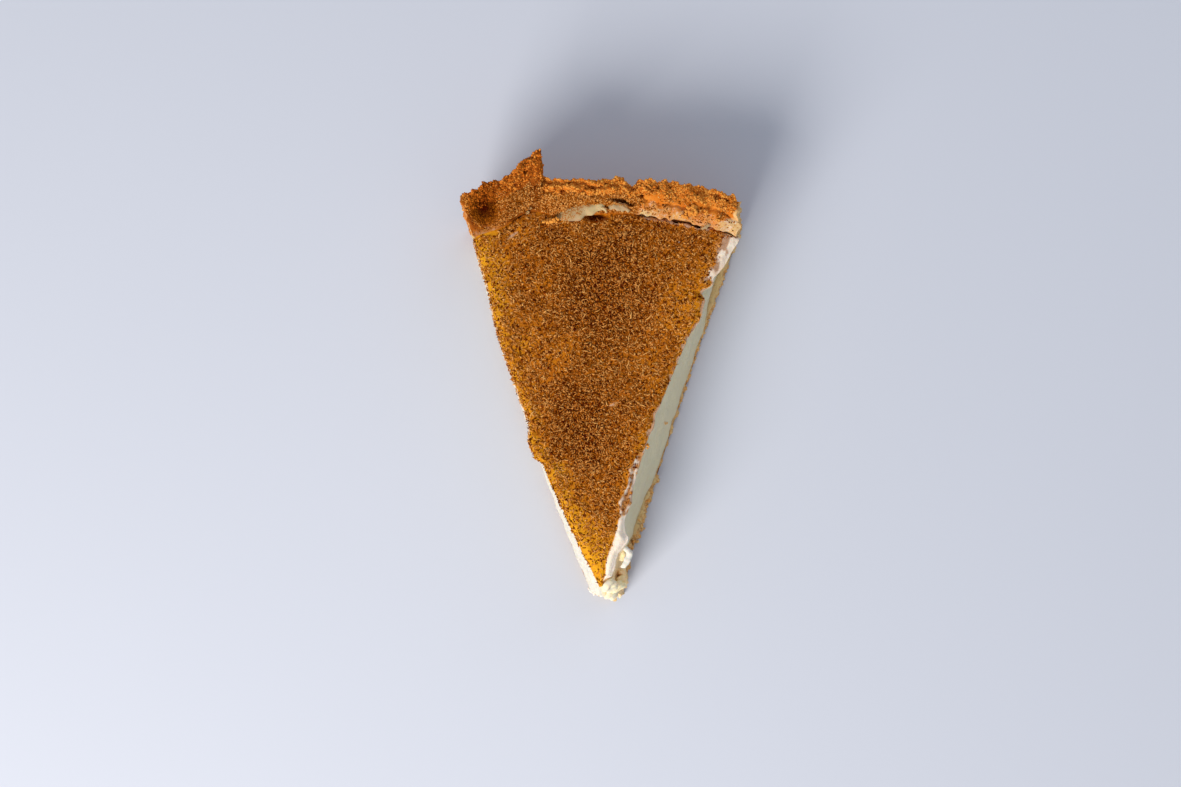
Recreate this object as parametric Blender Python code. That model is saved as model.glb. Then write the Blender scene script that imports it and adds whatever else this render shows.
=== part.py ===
"""One slice of a baked milk tart: a shortcrust case and its set custard filling.

The slice is modelled about the middle of the whole tart: X runs across the slice, Y from the
middle of the tart to its rim, and Z up. Both pieces are cubes cut into cells, whose points a
formula then moves into place. At the end the slice moves to stand on the origin.
"""

import bmesh
import bpy
import numpy as np

MM = 0.001

# The whole tart that the slice was cut from.
RIM_RADIUS = 119.6 * MM
FOOT_RADIUS = 115.5 * MM
INNER_RIM_RADIUS = 110.0 * MM
INNER_FOOT_RADIUS = 107.5 * MM

# Heights above the table.
BASE_THICK = 4.0 * MM
CUSTARD_HEIGHT = 28.0 * MM
RIM_HEIGHT = 31.0 * MM
INNER_RIM_HEIGHT = 29.0 * MM

# The gaps that keep the filling clear of its case.
FLOOR_GAP = 0.3 * MM
SEAM_GAP = 0.5 * MM

# The knife's cuts. Each runs from near the tip to near the rim, as (x, y), and bows sideways.
LEFT_TOP = ((-2.6 * MM, 6.4 * MM), (-36.2 * MM, 103.4 * MM), -4.0 * MM)
LEFT_FOOT = ((-5.0 * MM, 2.0 * MM), (-39.4 * MM, 105.5 * MM), -2.4 * MM)
RIGHT_TOP = ((-1.7 * MM, 6.4 * MM), (35.6 * MM, 103.7 * MM), -3.2 * MM)
RIGHT_FOOT = ((4.6 * MM, 2.3 * MM), (38.9 * MM, 107.3 * MM), -1.1 * MM)
TIP_TOP = 6.4 * MM
TIP_FOOT = 1.2 * MM
BASE_TIP = 0.4 * MM
BASE_END_RADIUS = 111.0 * MM

# Where the filling stands back from the edge of its base.
LEFT_LEDGE = 0.5 * MM
RIGHT_LEDGE = 0.8 * MM
RIM_LEDGE = 1.7 * MM
TIP_LEDGE = 1.5 * MM

# Features of the crust's rim, by their place across the slice.
LEFT_SWELL = 2.3 * MM
FLAP_START = -29.5 * MM
FLAP_EDGE = -18.6 * MM
FLAP_REACH = 6.9 * MM
FLAP_RISE = 2.6 * MM
NOTCH_X = 6.3 * MM
NOTCH_DEPTH = 2.1 * MM
CORNER_X = 34.6 * MM
CORNER_LOSS = 3.2 * MM
POCKET_X = -22.0 * MM
POCKET_DEPTH = 2.6 * MM
LEFT_END_SWELL = 1.0 * MM
RIGHT_END_TAPER = 2.4 * MM
CRUMB_SIZE = 3.0 * MM
CRUMB_DEPTH = 0.55 * MM

# Features of the filling, by their place along the slice.
BULGE_Y = 46.0 * MM
BULGE_DEPTH = 1.9 * MM
TEAR_Y = 88.0 * MM
TEAR_DEPTH = 2.0 * MM
ROLL_Y = 31.0 * MM
ROLL_RISE = 0.9 * MM
CURL_Y = 11.5 * MM
CURL_REACH = 1.6 * MM
TIP_SLUMP = 1.4 * MM
EDGE_DROP = 0.9 * MM
TORN_X = -6.0 * MM
TORN_RISE = 1.0 * MM

# How many cells each block is cut into.
WALL_CELLS = (92, 7, 7)
BASE_CELLS = (20, 44, 2)
CUSTARD_CELLS = (16, 46, 7)

# The largest slivers of ground spice that lie on the filling.
SLIVER_SPACING = 5.9 * MM
SLIVER_HALF_LENGTH = 1.0 * MM
SLIVER_HALF_WIDTH = 0.38 * MM
SLIVER_HALF_HEIGHT = 0.34 * MM

# Loose crumbs of pastry: x, y and z of the middle, then half of each size.
RIM_CRUMBS = (
    (22.8 * MM, 109.9 * MM, 29.6 * MM, 2.1 * MM, 1.8 * MM, 1.4 * MM),
    (26.4 * MM, 110.2 * MM, 29.8 * MM, 0.9 * MM, 0.8 * MM, 0.8 * MM),
)
SEAM_CRUMB = (-16.0 * MM, 107.2 * MM, 27.6 * MM, 2.3 * MM, 0.9 * MM, 1.0 * MM)

CRUST_COLOUR = (0.42, 0.15, 0.032, 1.0)
CUSTARD_COLOUR = (0.80, 0.66, 0.40, 1.0)


def mix(a, b, t):
    return a + (b - a) * t


def smooth(t):
    """Rises gently from 0 at t = 0 to 1 at t = 1."""
    t = np.clip(t, 0.0, 1.0)
    return t * t * (3.0 - 2.0 * t)


def bump(x, middle, reach):
    """A round hump of height 1 over the middle that ends at reach on both sides."""
    return 0.5 + 0.5 * np.cos(np.pi * np.clip(np.abs(x - middle) / reach, 0.0, 1.0))


def rough(x, y, z, size, seed, waves=14):
    """Seeded bumps about size across, as a sum of plane waves in random directions."""
    draw = np.random.default_rng(seed)
    ways = draw.normal(size=(waves, 3))
    ways *= (2.0 * np.pi / size / np.linalg.norm(ways, axis=1))[:, None]
    ways *= draw.uniform(0.6, 1.4, (waves, 1))
    phases = draw.uniform(0.0, 2.0 * np.pi, waves)
    total = sum(np.cos(a * x + b * y + c * z + p) for (a, b, c), p in zip(ways, phases))
    return total / np.sqrt(waves)


def cut_edge(y, cut):
    """How far across a knife cut runs at y: a straight line with a bow."""
    near, far, bow = cut
    t = (y - near[1]) / (far[1] - near[1])
    inside = np.clip(t, 0.0, 1.0)
    return near[0] + (far[0] - near[0]) * t + bow * 4.0 * inside * (1.0 - inside)


def left_cut(y, height):
    """The left cut face at y and at a share of the filling's height."""
    bulge = BULGE_DEPTH * bump(y, BULGE_Y, 6.0 * MM) * smooth((height - 0.5) / 0.4)
    return mix(cut_edge(y, LEFT_FOOT), cut_edge(y, LEFT_TOP), height) - bulge


def right_cut(y, height):
    """The right cut face, with the tear in its top edge and the curl low down by the tip."""
    tear = TEAR_DEPTH * bump(y, TEAR_Y, 2.3 * MM) * smooth((height - 0.7) / 0.3)
    curl = CURL_REACH * bump(y, CURL_Y, 3.5 * MM) * bump(height, 0.3, 0.22)
    return mix(cut_edge(y, RIGHT_FOOT), cut_edge(y, RIGHT_TOP), height) - tear + curl


def right_ledge(y):
    """How far the filling stands back from the right edge of its base."""
    by_rim = RIM_LEDGE * bump(y, 92.0 * MM, 15.0 * MM)
    by_tip = TIP_LEDGE * bump(y, 24.0 * MM, 15.0 * MM)
    return RIGHT_LEDGE + by_rim + by_tip


def inner_radius(x, z):
    """The wall's inner face, which leans out and has a pocket behind the flap."""
    up = np.clip((z - BASE_THICK) / (CUSTARD_HEIGHT - BASE_THICK), 0.0, 1.0)
    pocket = POCKET_DEPTH * bump(x, POCKET_X, 9.0 * MM) * smooth((up - 0.55) / 0.4)
    return mix(INNER_FOOT_RADIUS, INNER_RIM_RADIUS, up) + pocket


def outer_radius(x, up):
    """The wall's outer face: it leans out, swells on the left and ends in the flap."""
    rim = RIM_RADIUS + LEFT_SWELL * smooth((FLAP_EDGE + 0.6 * MM - x) / (1.0 * MM))
    rim = rim + 1.6 * MM * bump(x, FLAP_EDGE, 4.5 * MM) * (x > FLAP_EDGE)
    rim = rim - 0.7 * MM * bump(x, -3.0 * MM, 8.0 * MM)
    rim = rim - NOTCH_DEPTH * bump(x, NOTCH_X, 2.8 * MM)
    rim = rim - CORNER_LOSS * smooth((x - CORNER_X) / (3.0 * MM))
    return mix(FOOT_RADIUS, rim, up) + FLAP_REACH * flap(x) * smooth((up - 0.45) / 0.55)


def flap(x):
    """The flake of pastry that leans out: a ramp that ends in a steep edge."""
    ramp = np.clip((x - FLAP_START) / (FLAP_EDGE - FLAP_START), 0.0, 1.0)
    return ramp * smooth((FLAP_EDGE + 0.2 * MM - x) / (0.4 * MM))


def rim_height(x, inward):
    """The top of the wall, from its outer edge at inward = 0 to its inner lip at 1."""
    height = mix(RIM_HEIGHT, INNER_RIM_HEIGHT, smooth((inward - 0.35) / 0.65))
    height = height - 0.9 * MM * (1.0 - smooth(inward / 0.3))
    height = height + 0.8 * MM * smooth((FLAP_EDGE - x) / (4.0 * MM)) * (1.0 - inward)
    height = height + FLAP_RISE * flap(x) * (1.0 - smooth(inward / 0.7))
    return height - 1.2 * MM * bump(x, NOTCH_X, 2.8 * MM) * (1.0 - inward)


def crowd(x, middle, reach, share):
    """Draws points near the middle closer to it, so that a step there gets steep."""
    return x - share * (x - middle) * bump(x, middle, reach)


def wall_points(u, inward, up):
    """The case's wall: u across, inward from the outer face, up from the table."""
    x = mix(-40.0 * MM, 37.0 * MM, u)
    for _ in range(4):
        z = up * rim_height(x, inward)
        radius = mix(outer_radius(x, up), inner_radius(x, z), inward)
        y = np.sqrt(radius**2 - x**2)
        height = np.clip(z / CUSTARD_HEIGHT, 0.0, 1.1)
        left = mix(cut_edge(y, LEFT_FOOT), cut_edge(y, LEFT_TOP), height)
        right = mix(cut_edge(y, RIGHT_FOOT), cut_edge(y, RIGHT_TOP), height)
        left = left - 0.2 * MM - LEFT_END_SWELL * height
        right = right + 0.2 * MM - RIGHT_END_TAPER * height * smooth((y - 104.0 * MM) / (7.0 * MM))
        x = crowd(mix(left, right, u), FLAP_EDGE, 2.4 * MM, 0.8)
    crumbs = CRUMB_DEPTH * rough(x, y, z, CRUMB_SIZE, 3)
    outside = (1.0 - smooth(inward / 0.75)) * smooth(up / 0.15)
    away = 1.0 + outside * crumbs / radius
    top = smooth((up - 0.8) / 0.2) * (1.0 - 0.7 * smooth((inward - 0.4) / 0.6))
    z = z + 0.8 * top * CRUMB_DEPTH * rough(x, y, z, 0.9 * CRUMB_SIZE, 4)
    ends = smooth(np.abs(2.0 * u - 1.0) * 12.0 - 11.0) * np.sign(u - 0.5)
    x = x + 0.6 * ends * CRUMB_DEPTH * rough(x, y, z, CRUMB_SIZE, 5) * smooth(up / 0.15)
    return x * away, y * away, z


def base_points(u, v, up):
    """The case's flat base: u across, v from the tip to inside the wall, up."""
    z = up * BASE_THICK
    x = np.zeros_like(u)
    for _ in range(4):
        end = np.sqrt(BASE_END_RADIUS**2 - x**2)
        y = mix(BASE_TIP, end, v)
        height = z / CUSTARD_HEIGHT
        x = mix(left_cut(y, height), right_cut(y, height), u)
    edge = (2.0 * u - 1.0) ** 5
    x = x + edge * CRUMB_DEPTH * rough(x, y, z, CRUMB_SIZE, 6) * (1.0 - smooth((v - 0.9) / 0.08))
    y = y - (1.0 - v) ** 12 * CRUMB_DEPTH * (1.4 + rough(x, y, z, CRUMB_SIZE, 7))
    return x, y, z


def custard_top(x, y, u):
    """The relief of the filling's top: soft waves, rounded edges, and what the knife left."""
    waves = 0.35 * MM * rough(x, y, 0.0, 34.0 * MM, 8)
    edge = np.minimum(u, 1.0 - u) * (right_cut(y, 1.0) - left_cut(y, 1.0))
    drop = EDGE_DROP * (1.0 - smooth(edge / (2.2 * MM)))
    slump = TIP_SLUMP * (1.0 - smooth((y - TIP_TOP) / (16.0 * MM)))
    roll = ROLL_RISE * bump(y, ROLL_Y, 11.0 * MM) * bump(edge, 2.2 * MM, 1.8 * MM) * (u > 0.5)
    seam = inner_radius(x, CUSTARD_HEIGHT) - np.hypot(x, y)
    sunk = 1.1 * MM * (1.0 - smooth(seam / (2.0 * MM)))
    torn = bump(x, TORN_X, 6.0 * MM) * (1.0 - smooth((seam - 1.2 * MM) / (1.6 * MM)))
    return waves - drop - slump + roll - sunk + (TORN_RISE + sunk) * torn


def custard_points(u, v, up):
    """The filling: u across, v from the tip to the case's wall, up from its base."""
    u = mix(u, 0.5 - 0.5 * np.cos(np.pi * u), 0.85)
    v = mix(v, 0.5 - 0.5 * np.cos(np.pi * v), 0.5)
    up = mix(up, np.sin(0.5 * np.pi * up), 0.5)
    foot = BASE_THICK + FLOOR_GAP
    z = mix(foot, CUSTARD_HEIGHT, up)
    tip = mix(TIP_FOOT, TIP_TOP, up)
    x = np.zeros_like(u)
    for _ in range(4):
        back = np.sqrt((inner_radius(x, z) - SEAM_GAP) ** 2 - x**2)
        y = mix(tip, back, v)
        left = left_cut(y, up) + LEFT_LEDGE * (1.0 - up)
        right = right_cut(y, up) - right_ledge(y) * (1.0 - up)
        x = mix(left, right, u)
    side = (2.0 * u - 1.0) ** 9
    x = x + 0.16 * MM * side * rough(x, y, z, 9.0 * MM, 9)
    y = y - 0.35 * MM * (1.0 - v) ** 14 * rough(x, y, z, 5.0 * MM, 10)
    return x, y, z + custard_top(x, y, u) * up**4


def new_object(name, bm, collection):
    """Puts bm's mesh in a new object, with its faces pointing out."""
    bmesh.ops.recalc_face_normals(bm, faces=bm.faces)
    mesh = bpy.data.meshes.new(name)
    bm.to_mesh(mesh)
    bm.free()
    obj = bpy.data.objects.new(name, mesh)
    collection.objects.link(obj)
    return obj


def block(name, cells, shape, collection):
    """A cube cut into cells whose points shape moves, each from its place between 0 and 1."""
    bm = bmesh.new()
    bmesh.ops.create_cube(bm, size=1.0)
    for axis, count in enumerate(cells):
        along = [e for e in bm.edges if abs(e.verts[0].co[axis] - e.verts[1].co[axis]) > 0.5]
        bmesh.ops.subdivide_edges(bm, edges=along, cuts=count - 1, use_grid_fill=True)
    places = np.array([v.co for v in bm.verts]) + 0.5
    moved = np.stack(shape(*places.T), axis=1)
    for vert, point in zip(bm.verts, moved):
        vert.co = point
    bmesh.ops.triangulate(bm, faces=bm.faces)
    return new_object(name, bm, collection)


def lump(name, middle, halves, turn, tilt, seed, collection):
    """A small uneven lump: a coarse ball stretched to its three half sizes and turned."""
    bm = bmesh.new()
    bmesh.ops.create_icosphere(bm, subdivisions=1, radius=1.0)
    draw = np.random.default_rng(seed)
    for vert in bm.verts:
        vert.co *= draw.uniform(0.85, 1.12)
        vert.co.x *= halves[0]
        vert.co.y *= halves[1]
        vert.co.z *= halves[2]
    obj = new_object(name, bm, collection)
    obj.location = middle
    obj.rotation_euler = (0.0, tilt, turn)
    return obj


def slivers(collection):
    """The largest slivers of spice, one in each cell of a shaken grid over the filling."""
    draw = np.random.default_rng(21)
    rows = np.arange(TIP_TOP + 8.0 * MM, INNER_RIM_RADIUS - 4.0 * MM, SLIVER_SPACING)
    for y_row in rows:
        left = left_cut(y_row, 1.0)
        width = right_cut(y_row, 1.0) - left
        count = max(1, round((width - 4.0 * MM) / SLIVER_SPACING))
        for column in range(count):
            u = (column + 0.5 + draw.uniform(-0.22, 0.22)) / count
            u = mix(3.0 * MM / width, 1.0 - 4.0 * MM / width, u)
            x = left + u * width
            y = y_row + draw.uniform(-0.22, 0.22) * SLIVER_SPACING
            turn = draw.uniform(0.0, np.pi)
            tilt = draw.uniform(-0.12, 0.12)
            scale = draw.uniform(0.75, 1.25)
            if np.hypot(x, y) > INNER_RIM_RADIUS - 4.5 * MM:
                continue
            z = CUSTARD_HEIGHT + float(custard_top(x, y, u)) + 0.08 * MM
            halves = (SLIVER_HALF_LENGTH * scale, SLIVER_HALF_WIDTH, SLIVER_HALF_HEIGHT)
            lump("sliver", (x, y, z), halves, turn, tilt, int(draw.integers(1e6)), collection)


def crumb(place, seed, collection):
    """A crumb of pastry from its middle and half sizes."""
    return lump("crumb", place[:3], place[3:], 0.3 * seed, 0.2, seed, collection)


def fuse(obj, pieces):
    """Joins every object of the collection pieces to obj, and removes them."""
    union = obj.modifiers.new("fuse", "BOOLEAN")
    union.operation = "UNION"
    union.operand_type = "COLLECTION"
    union.collection = pieces
    union.solver = "EXACT"
    bpy.context.view_layer.update()
    seen = obj.evaluated_get(bpy.context.evaluated_depsgraph_get())
    joined = bpy.data.meshes.new_from_object(seen)
    obj.modifiers.clear()
    obj.data = joined
    joined.name = obj.name
    for piece in list(pieces.objects):
        bpy.data.objects.remove(piece)
    bpy.data.collections.remove(pieces)


def new_collection(name):
    collection = bpy.data.collections.new(name)
    bpy.context.scene.collection.children.link(collection)
    return collection


def give_material(obj, colour, roughness):
    """A plain Principled surface in one colour."""
    material = bpy.data.materials.new(obj.name)
    material.use_nodes = True
    shader = material.node_tree.nodes["Principled BSDF"]
    shader.inputs["Base Color"].default_value = colour
    shader.inputs["Roughness"].default_value = roughness
    shader.inputs["Metallic"].default_value = 0.0
    obj.data.materials.clear()
    obj.data.materials.append(material)


def build_crust(tart):
    """The pastry case: its wall and base, with the crumbs that stick to the rim."""
    crust = block("crust", WALL_CELLS, wall_points, tart)
    pieces = new_collection("crust_pieces")
    block("base", BASE_CELLS, base_points, pieces)
    for seed, place in enumerate(RIM_CRUMBS, start=1):
        crumb(place, seed, pieces)
    fuse(crust, pieces)
    give_material(crust, CRUST_COLOUR, 0.8)
    return crust


def build_custard(tart):
    """The filling, with the large slivers of spice and one crumb on its top."""
    custard = block("custard", CUSTARD_CELLS, custard_points, tart)
    pieces = new_collection("custard_pieces")
    slivers(pieces)
    crumb(SEAM_CRUMB, 5, pieces)
    fuse(custard, pieces)
    give_material(custard, CUSTARD_COLOUR, 0.45)
    return custard


def stand_on_origin(objects):
    """Moves the points so that the middle of the slice's box, at its bottom, is the origin."""
    points = np.array([v.co for obj in objects for v in obj.data.vertices])
    low, high = points.min(axis=0), points.max(axis=0)
    shift = np.array(((low[0] + high[0]) / 2.0, (low[1] + high[1]) / 2.0, low[2]))
    for obj in objects:
        for vert in obj.data.vertices:
            vert.co = np.array(vert.co) - shift


def main():
    for obj in list(bpy.data.objects):
        bpy.data.objects.remove(obj)
    tart = new_collection("milk_tart_slice")
    stand_on_origin([build_crust(tart), build_custard(tart)])


main()
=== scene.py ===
"""The looks of one slice of milk tart: its fine surfaces, finishes, powder, crumbs and stage.

Shapes are worked out in millimetres about the middle of the whole tart, with X across the slice, Y
from the middle to the rim and Z up, from the same formulas as the solids that they replace.
set_down then moves them to where the solids stand.
"""

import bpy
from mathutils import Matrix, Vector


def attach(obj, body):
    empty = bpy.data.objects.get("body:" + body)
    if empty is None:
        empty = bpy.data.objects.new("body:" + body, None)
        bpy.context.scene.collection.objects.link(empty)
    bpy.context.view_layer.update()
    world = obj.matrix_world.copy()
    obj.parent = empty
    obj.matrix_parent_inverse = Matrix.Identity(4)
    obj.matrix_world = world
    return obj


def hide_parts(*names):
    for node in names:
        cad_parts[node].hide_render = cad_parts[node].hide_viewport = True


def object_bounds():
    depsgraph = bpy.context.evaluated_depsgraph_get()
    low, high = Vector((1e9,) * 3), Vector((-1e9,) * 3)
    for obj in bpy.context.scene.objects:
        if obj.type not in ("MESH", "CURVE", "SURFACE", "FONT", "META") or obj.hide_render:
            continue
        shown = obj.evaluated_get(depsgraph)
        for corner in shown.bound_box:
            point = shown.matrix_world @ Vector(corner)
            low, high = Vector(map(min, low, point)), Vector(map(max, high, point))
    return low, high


bl_info = {
    "name": "Milk Tart Slice",
    "version": (1, 0, 0),
    "blender": (4, 5, 0),
    "location": "View3D > Sidebar > Tart",
    "description": "Builds the fine surfaces of a slice of milk tart round its solids",
    "category": "Object",
}

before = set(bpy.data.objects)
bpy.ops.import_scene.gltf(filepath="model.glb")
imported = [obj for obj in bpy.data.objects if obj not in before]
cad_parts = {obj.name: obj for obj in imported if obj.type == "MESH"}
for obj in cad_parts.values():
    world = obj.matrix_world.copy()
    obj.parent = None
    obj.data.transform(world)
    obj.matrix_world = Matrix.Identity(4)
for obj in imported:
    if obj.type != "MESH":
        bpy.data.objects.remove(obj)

import itertools
import math
from types import SimpleNamespace

import bpy
import numpy as np

CAD_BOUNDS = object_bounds()
MM = 0.001

# Below, a hump is written as (where, how far it reaches to both sides, how high) and a ramp as (where
# it starts, how wide it is, how high it gets). A ramp of negative width climbs backwards, and a form
# without a height is 1 high. Places along the slice or across it are in millimetres. Places up a
# face or into the rim are shares from 0 to 1.

# Where the middle of the whole tart lies in the frame.
TART_MIDDLE = (0.818, -63.269, 0.0)

# The knife's cuts: each runs from near the tip to near the rim, as (x, y), and bows sideways.
LEFT_TOP = ((-2.6, 6.4), (-36.2, 103.4), -4.0)
LEFT_FOOT = ((-5.0, 2.0), (-39.4, 105.5), -2.4)
RIGHT_TOP = ((-1.7, 6.4), (35.6, 103.7), -3.2)
RIGHT_FOOT = ((4.6, 2.3), (38.9, 107.3), -1.1)
WIDEST = 76.0

# The left cut has a shelf half way along and leans out towards the rim.
SHELF_START = (40.4, 1.6, 1.9)
SHELF_END = (52.0, -6.5)
SHELF_UP = (0.5, 0.4)
LEAN_BY_RIM = (84.0, 18.0, 1.3)
LEAN_BEFORE_RIM = (76.0, 20.0, 0.7)
LEAN_UP = (0.1, 0.8)

# The right cut: humps and tears of its top edge, and by the tip the roll, the curl and the bite.
TOP_HUMPS = ((80.0, 6.5, 1.0), (88.0, 2.3, -2.0), (92.0, 1.8, -0.7), (54.0, 2.2, -0.6))
TOP_BY_RIM = (93.0, 4.0, 1.1)
TOP_UP = (0.7, 0.3)
ROLL_UP = (0.72, 0.2)
CURL = (11.5, 3.5, 1.6)
CURL_UP = (0.3, 0.22)
BITE = (13.5, 7.0, 1.6)
BITE_UP = (0.8, -0.4)

# Lines, as the places of their stops and the value at each: how far the roll of dragged skin by the
# tip sticks out over the right cut, and how far in from its outer edge the dusted skin starts.
ROLL_OUT = (
    (7.5, 9.2, 12.5, 15.7, 17.0, 18.8, 20.0, 21.2, 22.4, 24.3, 25.7, 29.9, 34.5, 38.8, 44.0),
    (0.0, 1.8, 2.1, 2.0, 3.0, 3.6, 3.4, 2.3, 1.7, 1.2, 1.0, 1.6, 0.6, 0.3, 0.0),
)
ROLL_WIDTH = (
    (7.5, 9.2, 12.5, 15.7, 17.0, 18.8, 20.0, 22.0, 24.3, 25.7, 29.9, 34.5, 38.8, 42.5, 44.5),
    (0.0, 1.6, 2.8, 2.7, 3.6, 4.0, 3.6, 2.2, 1.9, 1.5, 4.0, 1.9, 2.6, 1.7, 0.0),
)
# How far from the tart's middle the broken tip of the base starts, across the slice.
TIP_LINE = (
    (-6.4, -5.2, -3.8, -2.5, -0.4, 0.9, 1.8, 2.4, 4.0, 4.6, 5.4),
    (5.0, 2.9, 1.6, 0.9, 1.3, 0.3, -0.6, -0.2, 1.1, 2.3, 4.6),
)
# How wide the gap under the lip on the right is along the rim, from 0 to 1.
GAP_SHARE = (
    (7.0, 9.0, 15.6, 16.8, 18.2, 27.0, 28.4, 30.4, 31.6, 35.0),
    (0.0, 0.55, 0.55, 0.1, 1.0, 1.0, 0.15, 0.15, 0.55, 0.55),
)
# How wide the skin by the right cut is that the knife dragged bare.
BARE_WIDTH = ((40.0, 46.0, 86.0, 90.0, 94.0, 97.0, 100.0, 104.0), (0.0, 0.2, 0.4, 0.6, 2.6, 3.0, 4.0, 4.4))

# Gaps and ledges between the filling and its case, and the case's end under the wall.
FLOOR_GAP = 0.3
SEAM_GAP = 0.5
LEFT_LEDGE = 0.1
RIGHT_LEDGE = 0.8
LEDGE_HUMPS = ((92.0, 15.0, 1.7), (24.0, 15.0, 1.5))
BASE_END_RADIUS = 111.0

# The tip of the filling: where its top starts, and how its foot stands back behind the base's tip.
TIP_TOP = 6.4
TIP_FOOT = (-1.0, 2.0, 1.2)
TIP_GAP = 0.2

# The flake of pastry that leans out of the rim.
FLAP_START = -29.5
FLAP_EDGE = -18.6
FLAP_REACH = 6.9
FLAP_RISE = 2.6
FLAP_STEP = (FLAP_EDGE + 0.2, -0.4)
FLAP_ROOT = (FLAP_EDGE, 4.5, 1.6)
FLAP_UP = (0.45, 0.55)
FLAP_INWARD = (0.7, -0.7)
FLAP_CREASE = (FLAP_EDGE + 0.7, 0.7, 1.3)
FLAP_FOLD = (-22.0, 1.2, 0.6)
FOLD_SLANT = 4.0
FLAP_JAG = (FLAP_EDGE, 1.4)

# The rim's outline: about where it ends, its parts, what swells on the left, its dips and notch, its
# right corner, the pocket in its inner face, and how its cut ends swell or taper towards the top.
RIM_ENDS = (-40.0, 37.0)
LEFT_PART = (FLAP_EDGE + 0.4, -0.8)
RIGHT_PART = (7.0, 3.0)
LEFT_SWELL = (FLAP_EDGE + 0.6, -1.0, 2.3)
LEFT_RISE = (FLAP_EDGE, -4.0, 0.8)
CORNER_SWELL = (-35.1, 0.5, 1.2)
CORNER_SWELL_END = (-27.0, -4.0)
RIM_DIPS = ((-3.0, 8.0, -0.7), (6.3, 2.8, -2.1))
NOTCH_DROP = (6.3, 2.8, 1.2)
RIGHT_CORNER = (34.6, 3.0, -3.2)
POCKET = (-22.0, 9.0, 2.6)
POCKET_UP = (0.55, 0.4)
END_SWELL = 0.2
LEFT_END_SWELL = 1.0
RIGHT_END_TAPER = (104.0, 7.0, 2.4)

# How the wall's relief fades in: into the rim for coarse and fine bumps, up the wall for both, on
# the rim's top, at the lip's overhang, at the cut ends and at the flap's edge, where the grid is
# drawn closer too.
COARSE_INWARD = (0.75, -0.75)
FINE_INWARD = (0.25, -0.25)
COARSE_UP = (0.0, 0.15)
FINE_UP = (0.0, 0.06)
RIM_TOP_UP = (0.86, 0.14)
OVERHANG_INWARD = (0.8, 0.2)
OVERHANG_UP = (0.98, 0.06)
ENDS_ACROSS = (11.0 / 12.0, 1.0 / 12.0)
ENDS_UP = (0.0, 0.1)
JAG_INWARD = (0.5, -0.2)
JAG_UP = (0.5, 0.3)
FLAP_CROWD = (FLAP_EDGE, 2.4, 0.8)

# The rim's relief from its outer edge at 0 to its lip at 1.
LIP_SLOPE = (0.35, 0.65)
OUTER_ROUND = (0.3, -0.3, 0.9)
ROWS = ((0.05, 0.1, 0.4), (0.19, 0.08, -0.6), (0.3, 0.1, 0.35), (0.43, 0.07, -0.3))
BEAD = ((0.8, 0.24, 0.7), (0.58, 0.07, -0.4), (0.2, 0.07, -0.35))
OUTER_HALF = (0.55, -0.2)
LIP_DROP = (0.7, 0.3, 0.9)
SMOOTH_MIDDLE = (0.34, 0.12, 0.75)
SMOOTH_RIGHT = (0.24, 0.16, 0.82)
SMOOTH_LEFT = (0.05, 0.15, 0.68)

# Ovals, as their middle and half sizes: the cleft behind the torn filling, the hollow in the rim's
# left part and how far it is darkened and dusted, and the hollow in the filling before the tear.
CLEFT = ((4.0, 0.64), (4.2, 0.12))
CLEFT_SLANT = 0.012
CLEFT_DEPTH = 3.4
LEFT_HOLLOW = ((-33.6, 0.4), (6.0, 0.5))
LEFT_HOLLOW_DEPTH = 1.6
LEFT_HOLLOW_DARK = ((-34.4, 0.47), (5.8, 0.55))
LEFT_SPICE = ((-34.6, 0.48), (6.0, 0.56))
LEFT_CHIPS = ((-34.4, 0.47), (5.4, 0.52))
LEFT_CRUMBS = ((-34.4, 0.4), (5.8, 0.5))
# The hollow before the tear is painted dark as well, as shade.
SEAM_HOLLOW = ((-3.5, 108.9), (4.3, 1.6))
SEAM_HOLLOW_DEPTH = 3.4

# The relief of the filling's top.
EDGE_ROUND = (2.2, -2.2, 0.9)
TIP_SLUMP = (22.4, -16.0, 1.4)
ROLL_RISE = 0.9
CRESTS = (34.5, 9.5)
BAR_START = (7.0, 2.0)
BAR_END = (27.0, -3.0)
SEAM_CREASE = (-24.0, 4.5)
TORN = (-6.0, 6.0)
TORN_INWARD = (2.4, -1.2)
TORN_RISE = 1.0

# The filling's back edge meets the wall on the left and stands off it along the gap. The right
# corner of its tip is broken off below its top.
BACK_EDGE = (0.97, 0.03)
BACK_UP = (0.8, 0.15)
BROKEN_CORNER = (10.5, -3.0)
BROKEN_UP = (0.95, -0.15)

# The filling's colours: how deep its skin wraps over the left cut by the tip and further on, and over
# the right cut, and where it is golden. Its right cut is painted with the tint of shade, which leaves
# out the top edge by the tip, where it faces the light, and turns to a warm painted shade by the tip.
WRAP_DEPTHS = (0.3, 1.6)
WRAP_RIGHT = 0.15
WRAP_START = (40.0, 3.0)
SKIN_FADE = (0.5, -0.5)
GOLD_LEFT = (11.0, -11.0)
GOLD_RIGHT = (7.0, -7.0, 0.3)
GOLD_TIP = (34.0, -24.0)
SHADED_SIDE = (0.35, 0.3)
UNSHADED_TIP = (27.0, -2.0)
UNSHADED_TIP_UP = (0.93, 0.05)
WARM_SHADE_TIP = (21.0, -12.0)

# Where the skin is bare: by the right cut behind the roll, along the gap under the lip, and in a thin
# line at the left cut.
DRAGGED_START = (44.0, 3.0)
LIP_START = (8.0, 2.0)
LIP_END = (31.0, -3.0)
LINE_START = (44.0, 4.0, 0.52)
LINE_END = (103.0, -4.0)
LINE_WIDTH = (0.5, -0.4)

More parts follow.
